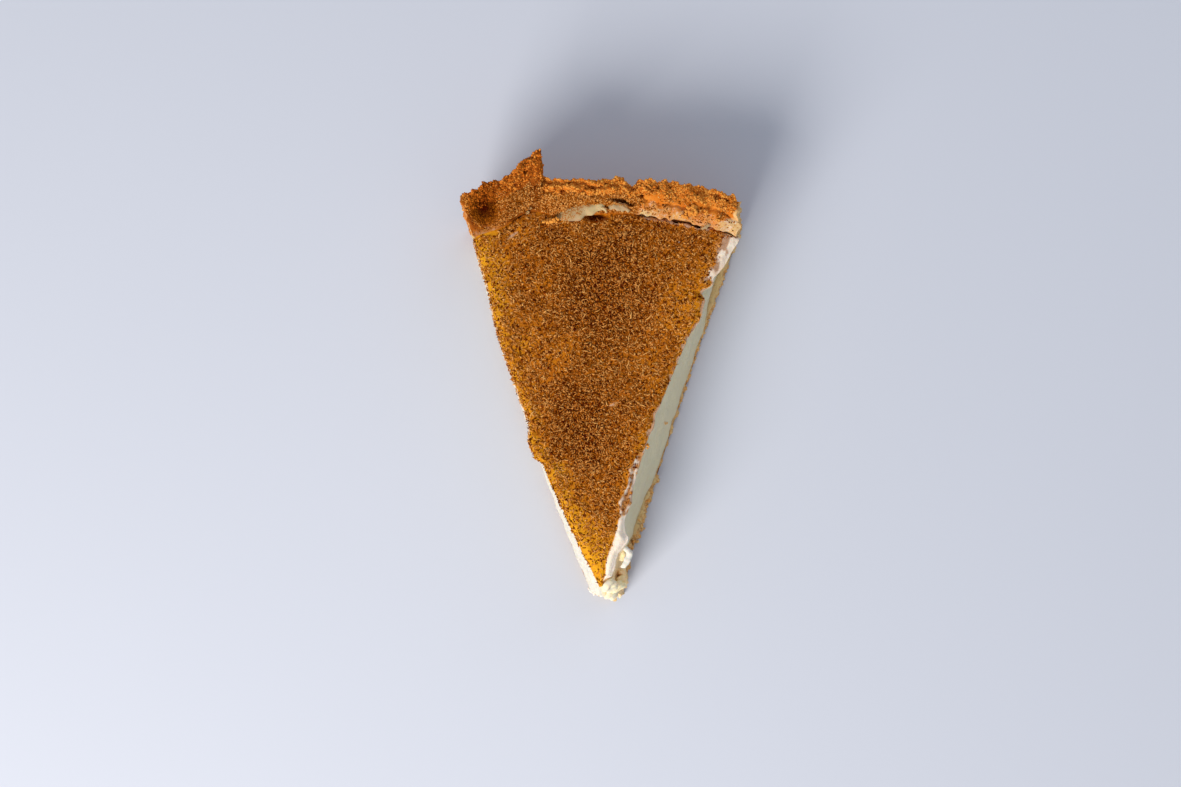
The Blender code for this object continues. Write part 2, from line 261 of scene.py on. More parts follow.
# How thick the spice lies: in the middle, how much less at each cut and how far in that fades, how
# it thins across the tip, how it starts at each edge, and from where it fills the roll's groove.
SPICE_MIDDLE = 0.54
LESS_LEFT = (0.2, 7.0)
LESS_RIGHT = (0.18, 5.0)
TIP_ACROSS = (0.3, 0.6)
TIP_SIDE = (0.2, 0.5)
SPICE_TIP = (6.0, 32.0)
SPICE_LEFT = (-0.1, 0.5)
SPICE_RIGHT = (-0.35, 0.7)
GROOVE_START = 25.0

# The base: how its edges' relief ends at the wall and at the underside, where it is rougher and paler
# towards the tip, and how its underside is baked.
BASE_END = (0.98, -0.08)
BASE_UP = (0.0, 0.12)
BASE_ROUGH = (65.0, -20.0)
BASE_PALE = (6.5, -3.0)
BASE_BAKED = (0.08, -0.08, 0.75)

# What lies on the rim: filling smeared on its left part, and spice in each of its parts, which stops
# along a slant before the left end.
LEFT_SMEAR = (-34.0, 11.0)
SMEAR_INWARD = (0.74, 0.24)
FLAKE_INWARD = (0.16, 0.25, 0.62)
FLAKE_STEP = (-30.0, 4.0, 0.2)
MIDDLE_SPICE = (0.36, 0.16, 0.8)
RIGHT_SPICE = (0.6, 0.25, 0.02)
SPICE_END = (-37.6, 1.2)
SPICE_SLANT = 4.2

# The rim's bake: it is pale at both cut ends and baked further in, its top is baked and its left part
# is scorched. Pale filling lies on its right lip, most of all at the right end, and by the notch the
# pale is a painted highlight.
BAKED_TOP = (0.93, 0.07)
LEFT_INWARD = (0.45, 0.3)
LEFT_BAKED = (0.8, 5.0)
RIGHT_BAKED = (0.2, 1.0)
SCORCH_STEP = (-31.0, 5.0, 0.3)
MILK_END = (29.0, 4.0)
NOTCH_HIGHLIGHT = (9.5, 5.0, 0.65)
MILK_INWARD = (0.76, 0.22)
LIP_UP = (0.8, 0.1)

# Pits in the rim where crumbs have fallen out: the place, the radius and the depth. They are also
# painted darker, as shade.
PITS = (
    (29.8, 114.2, 1.3, 1.5),
    (32.6, 113.5, 1.2, 1.3),
    (13.8, 117.0, 1.1, 1.0),
    (16.8, 117.2, 1.2, 1.0),
    (9.2, 114.8, 1.0, 1.0),
    (24.6, 114.8, 0.9, 0.8),
    (-12.6, 115.6, 1.2, 0.9),
    (-4.4, 116.8, 1.0, 0.8),
    (-22.8, 121.0, 1.0, 0.9),
    (-26.0, 117.2, 0.9, 0.7),
)

# Smears on the filling's skin: the middle, half of each size, the slope and how light it is.
SMEARS = (
    ((-26.7, 103.8), (2.6, 0.9), 0.6, 0.2),
    ((1.6, 57.0), (2.4, 0.7), 0.3, 0.3),
    ((-6.8, 83.2), (1.2, 0.7), 0.0, 0.35),
    ((-30.5, 106.4), (4.4, 0.8), 0.42, 0.35),
)

# Where spice lies thicker or thinner on the filling: the middle, half of each size, how much.
ZONES = (
    ((-1.0, 89.0), (16.0, 22.0), 0.46),
    ((-7.5, 52.0), (13.0, 18.0), 0.46),
    ((-31.0, 92.0), (9.0, 15.0), -0.15),
    ((22.0, 86.0), (13.0, 22.0), -0.24),
    ((-17.0, 73.0), (11.0, 10.0), -0.18),
    ((-27.0, 105.0), (10.0, 6.0), -0.12),
    ((4.0, 68.0), (9.0, 8.0), -0.06),
    ((-33.2, 104.6), (4.2, 1.1), -1.0),
)

# Clumps of crumbs: the middle, half of each size, how many lumps, and their bake from browned at 0
# to pale at 1.
CLUMPS = (
    ((22.9, 110.4, 30.9), (2.0, 1.5, 1.0), 36, 0.52),
    ((21.4, 109.1, 30.3), (1.5, 0.9, 0.8), 20, 0.5),
    ((26.4, 110.0, 30.9), (1.0, 1.1, 0.8), 14, 0.52),
    ((30.2, 107.9, 30.6), (0.8, 0.8, 0.7), 10, 0.55),
    ((-16.8, 107.7, 28.8), (2.0, 0.7, 0.7), 20, 0.6),
    ((-14.8, 108.0, 29.2), (1.3, 0.9, 0.8), 16, 0.64),
    ((9.6, 24.0, 2.4), (1.4, 2.4, 1.7), 44, 0.9),
    ((11.3, 29.0, 2.0), (1.1, 2.0, 1.5), 34, 0.9),
    ((8.3, 18.0, 2.0), (1.2, 1.8, 1.5), 30, 0.92),
    ((16.4, 51.5, 15.0), (0.7, 0.5, 0.6), 8, 0.92),
    ((10.9, 45.4, 26.6), (0.6, 0.8, 0.6), 8, 0.6),
    ((17.6, 61.0, 21.0), (0.4, 0.4, 0.4), 5, 0.7),
)

# Strips of torn filling: the stops of the path, half the width and the height, how lumpy the strip
# is, and its tone. By the seam that runs from pale custard at 0 to browned skin at 1. By the tip it
# runs from cream lifted brighter as painted light at 0, through the yellow of crumbled filling, to a
# warm painted shade at 1 for the lobes that lie in shade.
SCRAPS = (
    (((-14.6, 109.0, 27.8), (-10.0, 110.3, 28.5), (-5.4, 111.5, 29.0), (-1.0, 112.5, 29.4)),
     2.3, 0.9, 0.14, 0.1),
    (((-0.2, 111.6, 29.0), (2.8, 111.8, 29.2), (6.0, 110.6, 28.8)), 1.1, 0.5, 0.3, 0.3),
    (((-2.4, 111.5, 29.6), (-1.0, 110.9, 29.8), (-0.6, 109.9, 29.4)), 0.45, 0.35, 0.3, 0.0),
    # These two small pale strips stand for glints on the seam: painted highlights.
    (((-23.0, 109.8, 28.3), (-22.4, 110.1, 28.5), (-21.9, 110.5, 28.6)), 0.42, 0.3, 0.5, 0.25),
    (((-22.0, 111.0, 28.8), (-21.6, 111.2, 28.9), (-21.2, 111.5, 29.0)), 0.3, 0.25, 0.5, 0.3),
    (((25.6, 105.6, 28.3), (27.0, 106.4, 28.9), (28.4, 107.2, 28.9)), 0.7, 0.4, 0.3, 0.4),
    (((3.9, 17.1, 25.4), (5.3, 16.3, 25.3), (5.8, 14.8, 25.0), (5.2, 13.2, 24.8), (4.5, 12.1, 24.6),
      (3.3, 11.5, 24.4)), 0.95, 0.8, 0.14, 0.0),
    (((3.5, 16.6, 24.5), (3.7, 14.9, 24.1), (3.3, 13.1, 23.8)), 1.1, 0.7, 0.14, 0.68),
    (((-0.8, 1.8, 4.4), (0.8, 0.7, 3.2), (2.3, -0.2, 1.9)), 1.0, 1.1, 0.25, 0.05),
    (((-0.9, 7.3, 26.4), (0.4, 6.1, 23.4), (1.4, 4.9, 18.6)), 1.8, 1.2, 0.3, 0.5),
    (((1.9, 1.7, 4.2), (2.9, 1.2, 3.6), (3.8, 1.3, 2.8)), 0.9, 1.0, 0.3, 0.5),
    (((0.4, 3.9, 16.5), (1.6, 2.9, 11.8), (2.6, 2.4, 7.5)), 2.1, 1.0, 0.34, 0.5),
    (((1.7, 5.8, 19.5), (2.6, 4.7, 14.5), (3.4, 3.7, 8.5)), 2.0, 1.0, 0.34, 0.65),
    (((2.8, 7.3, 16.5), (3.7, 5.8, 11.0), (4.3, 4.2, 6.0)), 1.7, 0.9, 0.34, 0.8),
    (((4.3, 6.8, 6.6), (5.0, 5.1, 4.4), (4.7, 3.2, 2.8)), 0.9, 1.0, 0.35, 0.95),
    (((3.4, 9.1, 15.0), (4.1, 7.5, 9.5), (4.7, 6.1, 5.2)), 1.0, 1.1, 0.3, 0.95),
    (((-5.4, 3.5, 3.2), (-4.3, 2.2, 2.8), (-3.1, 1.8, 2.6)), 0.8, 0.9, 0.3, 0.0),
    (((-3.2, 2.3, 6.0), (-1.9, 1.8, 5.0), (-0.7, 2.2, 6.0)), 0.9, 1.0, 0.3, 0.0),
)

# How many cells each block is cut into: across, along or inward, and up. A place that depends on
# itself is worked out again for a number of rounds. A strip is cut along its path and round it, and
# seeded bumps are a sum of a number of waves.
RIM_CELLS = (380, 46, 70)
BASE_CELLS = (84, 280, 12)
FILLING_CELLS = (146, 226, 36)
ROUNDS = 4
STRIP_STEPS = 36
STRIP_SIDES = 16
WAVES = 14

# The camera stands straight above the middle of the photograph. The lights are a soft window from
# before the tip and to its left, and a weak fill: name, place, size, power and colour.
CAMERA_PLACE = (-4.182, -3.269, 483.0)
CAMERA_LENS = 50.0
CAMERA_SENSOR = 36.0
LIGHTS = (
    ("window", (-520.0, -710.0, 620.0), 550.0, 14.0, (1.0, 0.97, 0.92)),
    ("fill", (500.0, 600.0, 800.0), 900.0, 2.5, (0.9, 0.95, 1.0)),
)
LIGHT_AIM = (0.0, 0.0, 15.0)
SKY = (0.82, 0.88, 1.0, 1.0)
SKY_STRENGTH = 0.42
FLOOR_SIZE = 6000.0


# ---------------------------------------------------------------- sizes and colours


def linear(red, green, blue):
    """A colour in screen numbers from 0 to 255 as the linear numbers that a shader takes."""
    parts = [part / 255.0 for part in (red, green, blue)]
    return tuple(p / 12.92 if p <= 0.04045 else ((p + 0.055) / 1.055) ** 2.4 for p in parts)


def length(name, description, millimetres):
    """A property that holds a length, from its default in millimetres."""
    return bpy.props.FloatProperty(
        name=name, description=description, default=millimetres * MM, min=0.0, unit="LENGTH", precision=5
    )


def count(name, description, default):
    """A property that holds a number of things."""
    return bpy.props.IntProperty(name=name, description=description, default=default, min=0)


def colour(name, description, screen):
    """A property that holds a colour, from its default in screen numbers."""
    return bpy.props.FloatVectorProperty(
        name=name, description=description, default=linear(*screen), subtype="COLOR", min=0, max=1
    )


class TartSizes(bpy.types.PropertyGroup):
    """The sizes of the slice and how much lies on it."""

    rim_radius: length("Rim radius", "From the tart's middle to its rim", 119.6)
    foot_radius: length("Foot radius", "From the tart's middle to the wall's foot", 115.5)
    inner_rim: length("Inner rim radius", "The wall's inner face at its top", 110.0)
    inner_foot: length("Inner foot radius", "The wall's inner face at its foot", 107.5)
    base_thick: length("Base thickness", "Height of the pastry under the filling", 4.0)
    filling_top: length("Filling top", "Height of the filling above the table", 28.0)
    rim_top: length("Rim top", "Height of the pastry's rim", 31.0)
    lip_top: length("Lip top", "Height of the rim's inner edge", 29.0)
    crumb_depth: length("Crumb depth", "How rough the pastry is", 0.55)
    powder: count("Powder", "Grains of fine dark spice to a square centimetre, where thickest", 900)
    chips: count("Chips", "Short chips of spice to a square centimetre", 600)
    shavings: count("Shavings", "Paler chips of spice to a square centimetre", 450)
    specks: count("Specks", "Coarse dark grains of spice to a square centimetre", 34)
    slivers: count("Slivers", "Long pale slivers of spice to a square centimetre", 30)
    rim_chips: count("Rim chips", "Chips of spice on the rim", 9000)
    crumbs: count("Crumbs", "Crumbs of pastry on the crust", 6500)


class TartColours(bpy.types.PropertyGroup):
    """The colours of the slice."""

    cream: colour("Cream", "The filling where it is cut", (217, 211, 198))
    # cream_shade is painted shade: the cream as it looks on the right cut, in shade.
    cream_shade: colour("Cream, right", "The filling at its right cut", (226, 214, 176))
    milk: colour("Milk", "Skin that the knife dragged pale", (240, 224, 204))
    scorch: colour("Scorch", "What browns the rim's left end, by multiplying", (146, 116, 90))
    torn: colour("Torn", "Filling torn at the seam", (198, 172, 124))
    gold: colour("Gold", "The filling's baked skin", (224, 156, 24))
    amber: colour("Amber", "Skin under a dust of spice", (194, 108, 14))
    stain: colour("Stain", "Skin soaked with spice", (84, 24, 0))
    # Rubble is the yellow of crumbled filling, set near white as painted light for lobes in shade.
    rubble: colour("Rubble", "Crumbled filling at the tip", (252, 232, 178))
    # warm is painted shade: crumbled filling at the tip as it looks in shade.
    warm: colour("Warm", "Crumbled filling low at the tip", (248, 208, 150))
    flesh: colour("Flesh", "Bare skin at the edges", (216, 168, 132))
    # crust_highlight is a painted highlight: the colour of raised crumbs in the light.
    crust_highlight: colour("Crust, high", "Crumbs that catch the heat", (230, 156, 67))
    crust_mid: colour("Crust, middle", "Most of the baked pastry", (204, 111, 28))
    # crust_low is the darkest bake, and in the cracks between crumbs it is painted shade.
    crust_low: colour("Crust, low", "Cracks between the crumbs", (120, 46, 2))
    crumb: colour("Crumb", "Pastry where it is cut", (226, 192, 134))
    lip: colour("Lip", "Filling baked on to the rim", (208, 156, 92))
    spice_dark: colour("Spice, dark", "The darkest grains", (70, 12, 0))
    spice: colour("Spice", "Most grains", (178, 96, 16))
    spice_light: colour("Spice, light", "The palest chips", (238, 176, 98))
    floor: colour("Floor", "The plain floor", (200, 203, 213))


def sizes_and_colours(context):
    """The sizes as plain numbers, with lengths in millimetres, and the colours."""
    group = context.scene.tart_sizes
    values = {key: getattr(group, key) for key in group.__annotations__}
    plain_sizes = {key: value if isinstance(value, int) else value / MM for key, value in values.items()}
    return SimpleNamespace(**plain_sizes), context.scene.tart_colours


# ---------------------------------------------------------------- formulas


def mix(a, b, t):
    """Goes evenly from a at t = 0 to b at t = 1."""
    return a + (b - a) * t


def smooth(t):
    """Rises gently from 0 at t = 0 to 1 at t = 1."""
    t = np.clip(t, 0.0, 1.0)
    return t * t * (3.0 - 2.0 * t)


def ramp(x, start, width, height=1.0):
    """Rises gently from 0 at the start to its height a width further on."""
    return height * smooth((x - start) / width)


def hump(x, middle, reach, height=1.0):
    """A round hump over the middle that ends at its reach on both sides."""
    return height * (0.5 + 0.5 * np.cos(np.pi * np.clip(np.abs(x - middle) / reach, 0.0, 1.0)))


def humps(x, forms):
    """The sum of several humps, each given by its middle, reach and height."""
    return sum(hump(x, *form) for form in forms)


def dent(x, y, middle, halves):
    """A round hollow of depth 1 over an oval, from its middle and its two half sizes."""
    return hump(np.hypot((x - middle[0]) / halves[0], (y - middle[1]) / halves[1]), 0.0, 1.0)


def rough(x, y, z, size, seed, height=1.0):
    """Seeded bumps about size across, as a sum of plane waves in random directions."""
    draw = np.random.default_rng(seed)
    ways = draw.normal(size=(WAVES, 3))
    ways *= (2.0 * np.pi / size / np.linalg.norm(ways, axis=1))[:, None]
    ways *= draw.uniform(0.6, 1.4, (WAVES, 1))
    phases = draw.uniform(0.0, 2.0 * np.pi, WAVES)
    total = sum(np.cos(a * x + b * y + c * z + p) for (a, b, c), p in zip(ways, phases))
    return height * total / np.sqrt(WAVES)


def dice(cell, seed):
    """A number from 0 to 1 for each cell of a lattice, always the same for the same cell."""
    n = cell[..., 0] * 73856093 ^ cell[..., 1] * 19349663 ^ cell[..., 2] * 83492791
    n = (n ^ seed * 668265263) & 0xFFFFFFFF
    n = (n ^ (n >> 15)) * 2246822519 & 0xFFFFFFFF
    n = (n ^ (n >> 13)) * 3266489917 & 0xFFFFFFFF
    return ((n ^ (n >> 16)) & 0xFFFFFF) / float(0xFFFFFF)


def lumps(x, y, z, size, seed):
    """Packed lumps about size across, 1 on a lump's middle and 0 in the cracks between lumps.

    It is 1 less the distance to the nearest seeded point, with one point in each cell of a
    lattice. The second result is a number of each lump's own, from 0 to 1.
    """
    place = np.stack(np.broadcast_arrays(x, y, z), axis=-1) / size
    home = np.floor(place).astype(np.int64)
    nearest = np.full(home.shape[:-1], 9.0)
    own = np.zeros(home.shape[:-1])
    for step in itertools.product((-1, 0, 1), repeat=3):
        cell = home + np.array(step)
        point = cell + np.stack([dice(cell, seed + n) for n in range(3)], axis=-1)
        away = ((place - point) ** 2).sum(axis=-1)
        closer = away < nearest
        nearest = np.where(closer, away, nearest)
        own = np.where(closer, dice(cell, seed + 3), own)
    return np.clip(1.0 - np.sqrt(nearest), 0.0, 1.0), own


# ---------------------------------------------------------------- the knife's cuts


def cut_edge(y, cut):
    """How far across a knife cut runs at y: a straight line with a bow."""
    near, far, bow = cut
    t = (y - near[1]) / (far[1] - near[1])
    inside = np.clip(t, 0.0, 1.0)
    return mix(near[0], far[0], t) + bow * 4.0 * inside * (1.0 - inside)


def left_plane(y, height):
    """The knife's left cut at y and at a share of the filling's height."""
    return mix(cut_edge(y, LEFT_FOOT), cut_edge(y, LEFT_TOP), height)


def right_plane(y, height):
    """The knife's right cut at y and at a share of the filling's height."""
    return mix(cut_edge(y, RIGHT_FOOT), cut_edge(y, RIGHT_TOP), height)


def left_cut(y, height):
    """The left cut face: the knife's plane with its shelf and with how it leans out."""
    shelf = ramp(y, *SHELF_START) * ramp(y, *SHELF_END) * ramp(height, *SHELF_UP)
    lean = (ramp(y, *LEAN_BY_RIM) + hump(y, *LEAN_BEFORE_RIM)) * ramp(height, *LEAN_UP)
    return left_plane(y, height) - shelf - lean


def right_cut(y, height):
    """The right cut face: the knife's plane with what broke away from it and what stands proud.

    The tear and two nicks are bitten out of its top edge, and the skin stands proud beside them.
    By the tip, a roll runs along the top, a curl hangs low down and the foot is bitten away.
    """
    proud = (humps(y, TOP_HUMPS) + ramp(y, *TOP_BY_RIM)) * ramp(height, *TOP_UP)
    roll = np.interp(y, *ROLL_OUT) * ramp(height, *ROLL_UP)
    curl = hump(y, *CURL) * hump(height, *CURL_UP)
    bite = hump(y, *BITE) * ramp(height, *BITE_UP)
    return right_plane(y, height) + proud + roll + curl - bite


# ---------------------------------------------------------------- the case


def inner_radius(size, x, z):
    """The wall's inner face, which leans out and has a pocket behind the flap."""
    up = np.clip((z - size.base_thick) / (size.filling_top - size.base_thick), 0.0, 1.0)
    return mix(size.inner_foot, size.inner_rim, up) + hump(x, *POCKET) * ramp(up, *POCKET_UP)


def flap(x):
    """The flake of pastry that leans out: it climbs evenly and ends in a steep edge."""
    return np.clip((x - FLAP_START) / (FLAP_EDGE - FLAP_START), 0.0, 1.0) * ramp(x, *FLAP_STEP)


def outer_radius(size, x, up):
    """The wall's outer face: it leans out, swells on the left and ends in the flap."""
    rim = size.rim_radius + ramp(x, *LEFT_SWELL) + hump(x, *FLAP_ROOT) * (x > FLAP_EDGE)
    rim = rim + ramp(x, *CORNER_SWELL) * ramp(x, *CORNER_SWELL_END)
    rim = rim + humps(x, RIM_DIPS) + ramp(x, *RIGHT_CORNER)
    return mix(size.foot_radius, rim, up) + FLAP_REACH * flap(x) * ramp(up, *FLAP_UP)


def rim_height(size, x, inward):
    """The top of the wall, from its outer edge at inward = 0 to its inner lip at 1."""
    height = mix(size.rim_top, size.lip_top, ramp(inward, *LIP_SLOPE)) - ramp(inward, *OUTER_ROUND)
    height = height + (ramp(x, *LEFT_RISE) - hump(x, *NOTCH_DROP)) * (1.0 - inward)
    return height + FLAP_RISE * flap(x) * ramp(inward, *FLAP_INWARD)


def crowd(x, middle, reach, share):
    """Draws points near the middle closer to it, so that a step there gets steep."""
    return x - share * (x - middle) * hump(x, middle, reach)


def rim_parts(x):
    """How far x lies in the rim's left part, which ends in the flap, and in its right part."""
    return ramp(x, *LEFT_PART), ramp(x, *RIGHT_PART)


def lip_share(x, inward):
    """Where filling has baked on to the rim and left it smooth: its inner part, on the right."""
    start = 0.58 + rough(x, 8.0 * inward, 0.0, 5.0, 12, 0.07)
    end = x + rough(0.0, 9.0 * inward, 0.0, 3.0, 13, 1.6)
    return ramp(inward, start, 0.24) * ramp(end, 6.5, 3.0)


def crumbly(x, inward):
    """How much of the crumbs' relief shows: all of it outside, less under spice or filling."""
    left, right = rim_parts(x)
    middle = 1.0 - ramp(inward, *SMOOTH_MIDDLE)
    lipped = 1.0 - ramp(inward, *SMOOTH_RIGHT) - 0.14 * lip_share(x, inward)
    return mix(mix(middle, lipped, right), 1.0 - ramp(inward, *SMOOTH_LEFT), left)


def rim_forms(x, inward):
    """The rim's own forms, as a rise.

    Rows of crumbs run along its outer edge with grooves between them, and a bead along its lip on
    the right. The flap has a crease at its steep side and a fold in its face, and there are two
    hollows: one in the left part and the cleft behind the torn filling.
    """
    left, right = rim_parts(x)
    across = inward + rough(x, 0.0, 0.0, 9.0, 30, 0.05) + rough(x, 6.0 * inward, 0.0, 2.6, 37, 0.03)
    rows = humps(across, ROWS) * (1.0 - left)
    bead = humps(across, BEAD) + rough(x, 9.0 * inward, 0.0, 5.0, 35, 0.42)
    creases = hump(x, *FLAP_CREASE) + hump(x + FOLD_SLANT * inward, *FLAP_FOLD)
    rise = mix(rows, bead, right) - creases * ramp(inward, *OUTER_HALF)
    rise = rise - LEFT_HOLLOW_DEPTH * dent(x, inward, *LEFT_HOLLOW)
    rise = rise - (1.0 - right) * ramp(inward, *LIP_DROP)
    slanted = inward - CLEFT_SLANT * (x - CLEFT[0][0])
    return rise - CLEFT_DEPTH * dent(x, slanted, *CLEFT) ** 0.6


def crumb_relief(x, y, z):
    """Fine crumbs: two sizes of packed lumps, and dents where a lump has come away.

    The lumps are uneven, as their places are looked up with a seeded shift. The second result is
    how far a point stands up among the crumbs, from 0 to 1, by which the crust is painted light on top
    and shaded in the cracks.
    """
    shift = [rough(x, y, z, 1.5, 44 + n, 0.3) for n in range(3)]
    x, y, z = x + shift[0], y + shift[1], z + shift[2]
    large, kind = lumps(x, y, z, 1.1, 40)
    small, _ = lumps(x, y, z, 0.6, 50)
    lost = ramp(kind, 0.88, 0.06)
    level = np.clip(0.4 + 0.4 * large + 0.7 * (small - 0.5) - 0.8 * lost, 0.0, 1.0)
    return 0.32 * smooth(1.3 * large) + 0.26 * (small - 0.5) - 0.2 - 0.4 * lost, level


def pitted(x, y):
    """How deep the rim's pits are at a place."""
    return sum(depth * dent(x, y, (a, b), (radius, radius)) for a, b, radius, depth in PITS)


def rim_points(size, u, inward, up):
    """The case's wall: u across, inward from the outer face, up from the table.

    A point lies between the outer and the inner face and between the two cuts, and the rounds settle
    how these depend on each other. Relief then moves it away from the tart's middle, up on the rim's
    top, and sideways at the cuts and at the flap's edge.
    """
    x = mix(*RIM_ENDS, u)
    for _ in range(ROUNDS):
        z = up * rim_height(size, x, inward)
        radius = mix(outer_radius(size, x, up), inner_radius(size, x, z), inward)
        y = np.sqrt(radius**2 - x**2)
        height = np.clip(z / size.filling_top, 0.0, 1.1)
        left = left_plane(y, height) - END_SWELL - LEFT_END_SWELL * height
        right = right_plane(y, height) + END_SWELL - height * ramp(y, *RIGHT_END_TAPER)
        x = crowd(mix(left, right, u), *FLAP_CROWD)
    fine = crumb_relief(x, y, z)[0]
    shown = crumbly(x, inward)
    coarse = rough(x, y, z, 3.0, 3, 0.7 * size.crumb_depth)
    coarse = coarse * ramp(inward, *COARSE_INWARD) * ramp(up, *COARSE_UP)
    overhang = (0.3 + rough(x, 0.0, 0.0, 2.6, 36, 0.42)) * rim_parts(x)[1]
    overhang = overhang * ramp(inward, *OVERHANG_INWARD) * hump(up, *OVERHANG_UP)
    outside = ramp(inward, *FINE_INWARD) * ramp(up, *FINE_UP) * fine * shown
    away = 1.0 + (coarse - overhang + outside) / radius
    rise = (rough(x, y, z, 2.7, 4, 0.5 * size.crumb_depth) + fine) * shown
    rise = ramp(up, *RIM_TOP_UP) * (rise + rim_forms(x, inward) - pitted(x, y))
    ends = ramp(np.abs(2.0 * u - 1.0), *ENDS_ACROSS) * np.sign(u - 0.5)
    side = ends * rough(x, y, z, 3.0, 5, 0.6 * size.crumb_depth) * ramp(up, *COARSE_UP)
    side = side + 0.9 * ends * fine * shown * ramp(up, *ENDS_UP)
    jag = 0.9 * fine * shown + rough(0.0, y, 0.0, 1.8, 39, 0.45) * ramp(inward, *JAG_INWARD)
    side = side + jag * hump(x, *FLAP_JAG) * ramp(up, *JAG_UP)
    return (x + side) * away, y * away, z + rise


def base_points(size, u, v, up):
    """The case's flat base: u across, v from the tip to inside the wall, up.

    A point lies between the two cut faces and between the broken tip and a circle, and relief roughens
    the cut edges and the tip.
    """
    z = up * size.base_thick
    height = z / size.filling_top
    x = np.zeros_like(u)
    for _ in range(ROUNDS):
        y = mix(np.interp(x, *TIP_LINE), np.sqrt(BASE_END_RADIUS**2 - x**2), v)
        x = mix(left_cut(y, height), right_cut(y, height), u)
    rest = ramp(v, *BASE_END) * ramp(up, *BASE_UP)
    fine = crumb_relief(x, y, z)[0]
    bites = rough(x, y, 0.4 * z, 3.2, 6, size.crumb_depth)
    by_tip = ramp(y, *BASE_ROUGH)
    x = x + u**8 * (mix(0.7, 1.6, by_tip) * fine + mix(0.7, 1.1, by_tip) * bites) * rest
    x = x + (1.0 - u) ** 8 * (0.7 + 0.5 * fine) * rest
    y = y - (1.0 - v) ** 60 * (0.2 + 0.8 * fine + 0.5 * bites) * rest
    return x, y, z


# ---------------------------------------------------------------- the filling


def insets(size, x, y, u):
    """How far in from the left cut, the right cut and the case's wall a point of the top lies."""
    width = right_cut(y, 1.0) - left_cut(y, 1.0)
    seam = inner_radius(size, x, size.filling_top) - np.hypot(x, y)
    return u * width, (1.0 - u) * width, seam


def roll_relief(x, y, right_in):
    """The roll by the tip: a smooth round bar with a ditch behind it, which opens further on into
    two crests with a groove between."""
    width = np.interp(y, *ROLL_WIDTH)
    inner = hump(right_in, width - 0.6, 1.1, 0.8)
    outer = hump(right_in, 0.6, 0.9, 0.6)
    groove = hump(right_in, 0.5 * width, 1.0, 0.4)
    crests = (inner + outer) * (1.0 + rough(x, y, 0.0, 3.4, 29, 0.5)) - groove
    bar = hump(right_in, 0.5 * width, 0.6 * width + 0.1, 0.55)
    ditch = hump(right_in, width + 0.2, 0.7, 0.35)
    by_tip = ramp(y, *BAR_START) * ramp(y, *BAR_END)
    return ROLL_RISE * (crests * hump(y, *CRESTS) ** 0.5 + (bar - ditch) * by_tip)


def filling_relief(size, x, y, u):
    """The relief of the filling's top: soft waves, rounded edges, and what the knife left.

    Along the wall the top sinks into a gap on the right and into a crease on the left, rises where
    the filling is torn, and is hollow in front of that.
    """
    left_in, right_in, seam = insets(size, x, y, u)
    waves = rough(x, y, 0.0, 34.0, 8, 0.35) + rough(x, y, 0.0, 5.0, 20, 0.07)
    drop = ramp(np.minimum(left_in, right_in), *EDGE_ROUND) + ramp(y, *TIP_SLUMP)
    gap = np.interp(x, *GAP_SHARE)
    reach = mix(1.4, 1.0, gap) * (1.0 + rough(x, 0.0, 0.0, 3.0, 22, 0.25))
    sunk = (0.1 + 0.8 * hump(x, *SEAM_CREASE) + 2.1 * gap) * ramp(seam, reach, -reach)
    hollow = dent(x, y, *SEAM_HOLLOW) ** 0.6
    torn = hump(x, *TORN) * ramp(seam, *TORN_INWARD) * (1.0 - hollow)
    rise = waves - drop + roll_relief(x, y, right_in) - sunk
    return rise + (TORN_RISE + sunk) * torn - SEAM_HOLLOW_DEPTH * hollow


def dragged_skin(x, y, right_in, uneven, ragged):
    """Skin that the knife dragged bare, and pale, by the right cut: it widens towards the rim."""
    reach = np.interp(y, *BARE_WIDTH)
    behind = ramp(y, *DRAGGED_START)
    patchy = 0.95 + rough(x, y, 0.0, 4.0, 27, 0.45)
    bare = smooth((1.2 * reach - right_in + 1.4 * uneven) / (0.4 + 1.1 * reach) + 0.5)
    pale = 0.8 * smooth((patchy * reach - right_in + 1.5 * ragged) / 2.4 + 0.2)
    return bare * behind, pale * behind


def roll_skin(x, y, right_in, ragged):
    """The roll's skin, bare and pale by the tip and, further on, along the crests of its fold."""
    width = np.interp(y, *ROLL_WIDTH)
    by_tip = ramp(y, *BAR_END)
    inside = smooth((width - right_in + 0.6 * ragged) / mix(0.5, 0.9, by_tip) + 0.5) * (width > 0.0)
    crest = np.maximum(hump(right_in, width - 0.6, 1.2), hump(right_in, 0.4, 1.0))
    crest = smooth(1.2 * crest + rough(x, y, 0.0, 1.8, 28, 0.6) - 0.4)
    return inside * mix(mix(0.5, 1.0, crest), 1.0, by_tip), inside * mix(0.62 * crest, 0.95, by_tip)


def smeared_skin(x, y, uneven, middle, halves, slope, light):
    """One smear: a leaning oval, bare and in places pale."""
    spot = dent(x, y - slope * (x - middle[0]), middle, halves)
    spot = smooth(1.8 * spot + 0.5 * uneven) * (spot > 0.0)
    return 0.7 * spot, light * spot * smooth(0.5 + rough(x, y, 0.0, 1.5, 38))


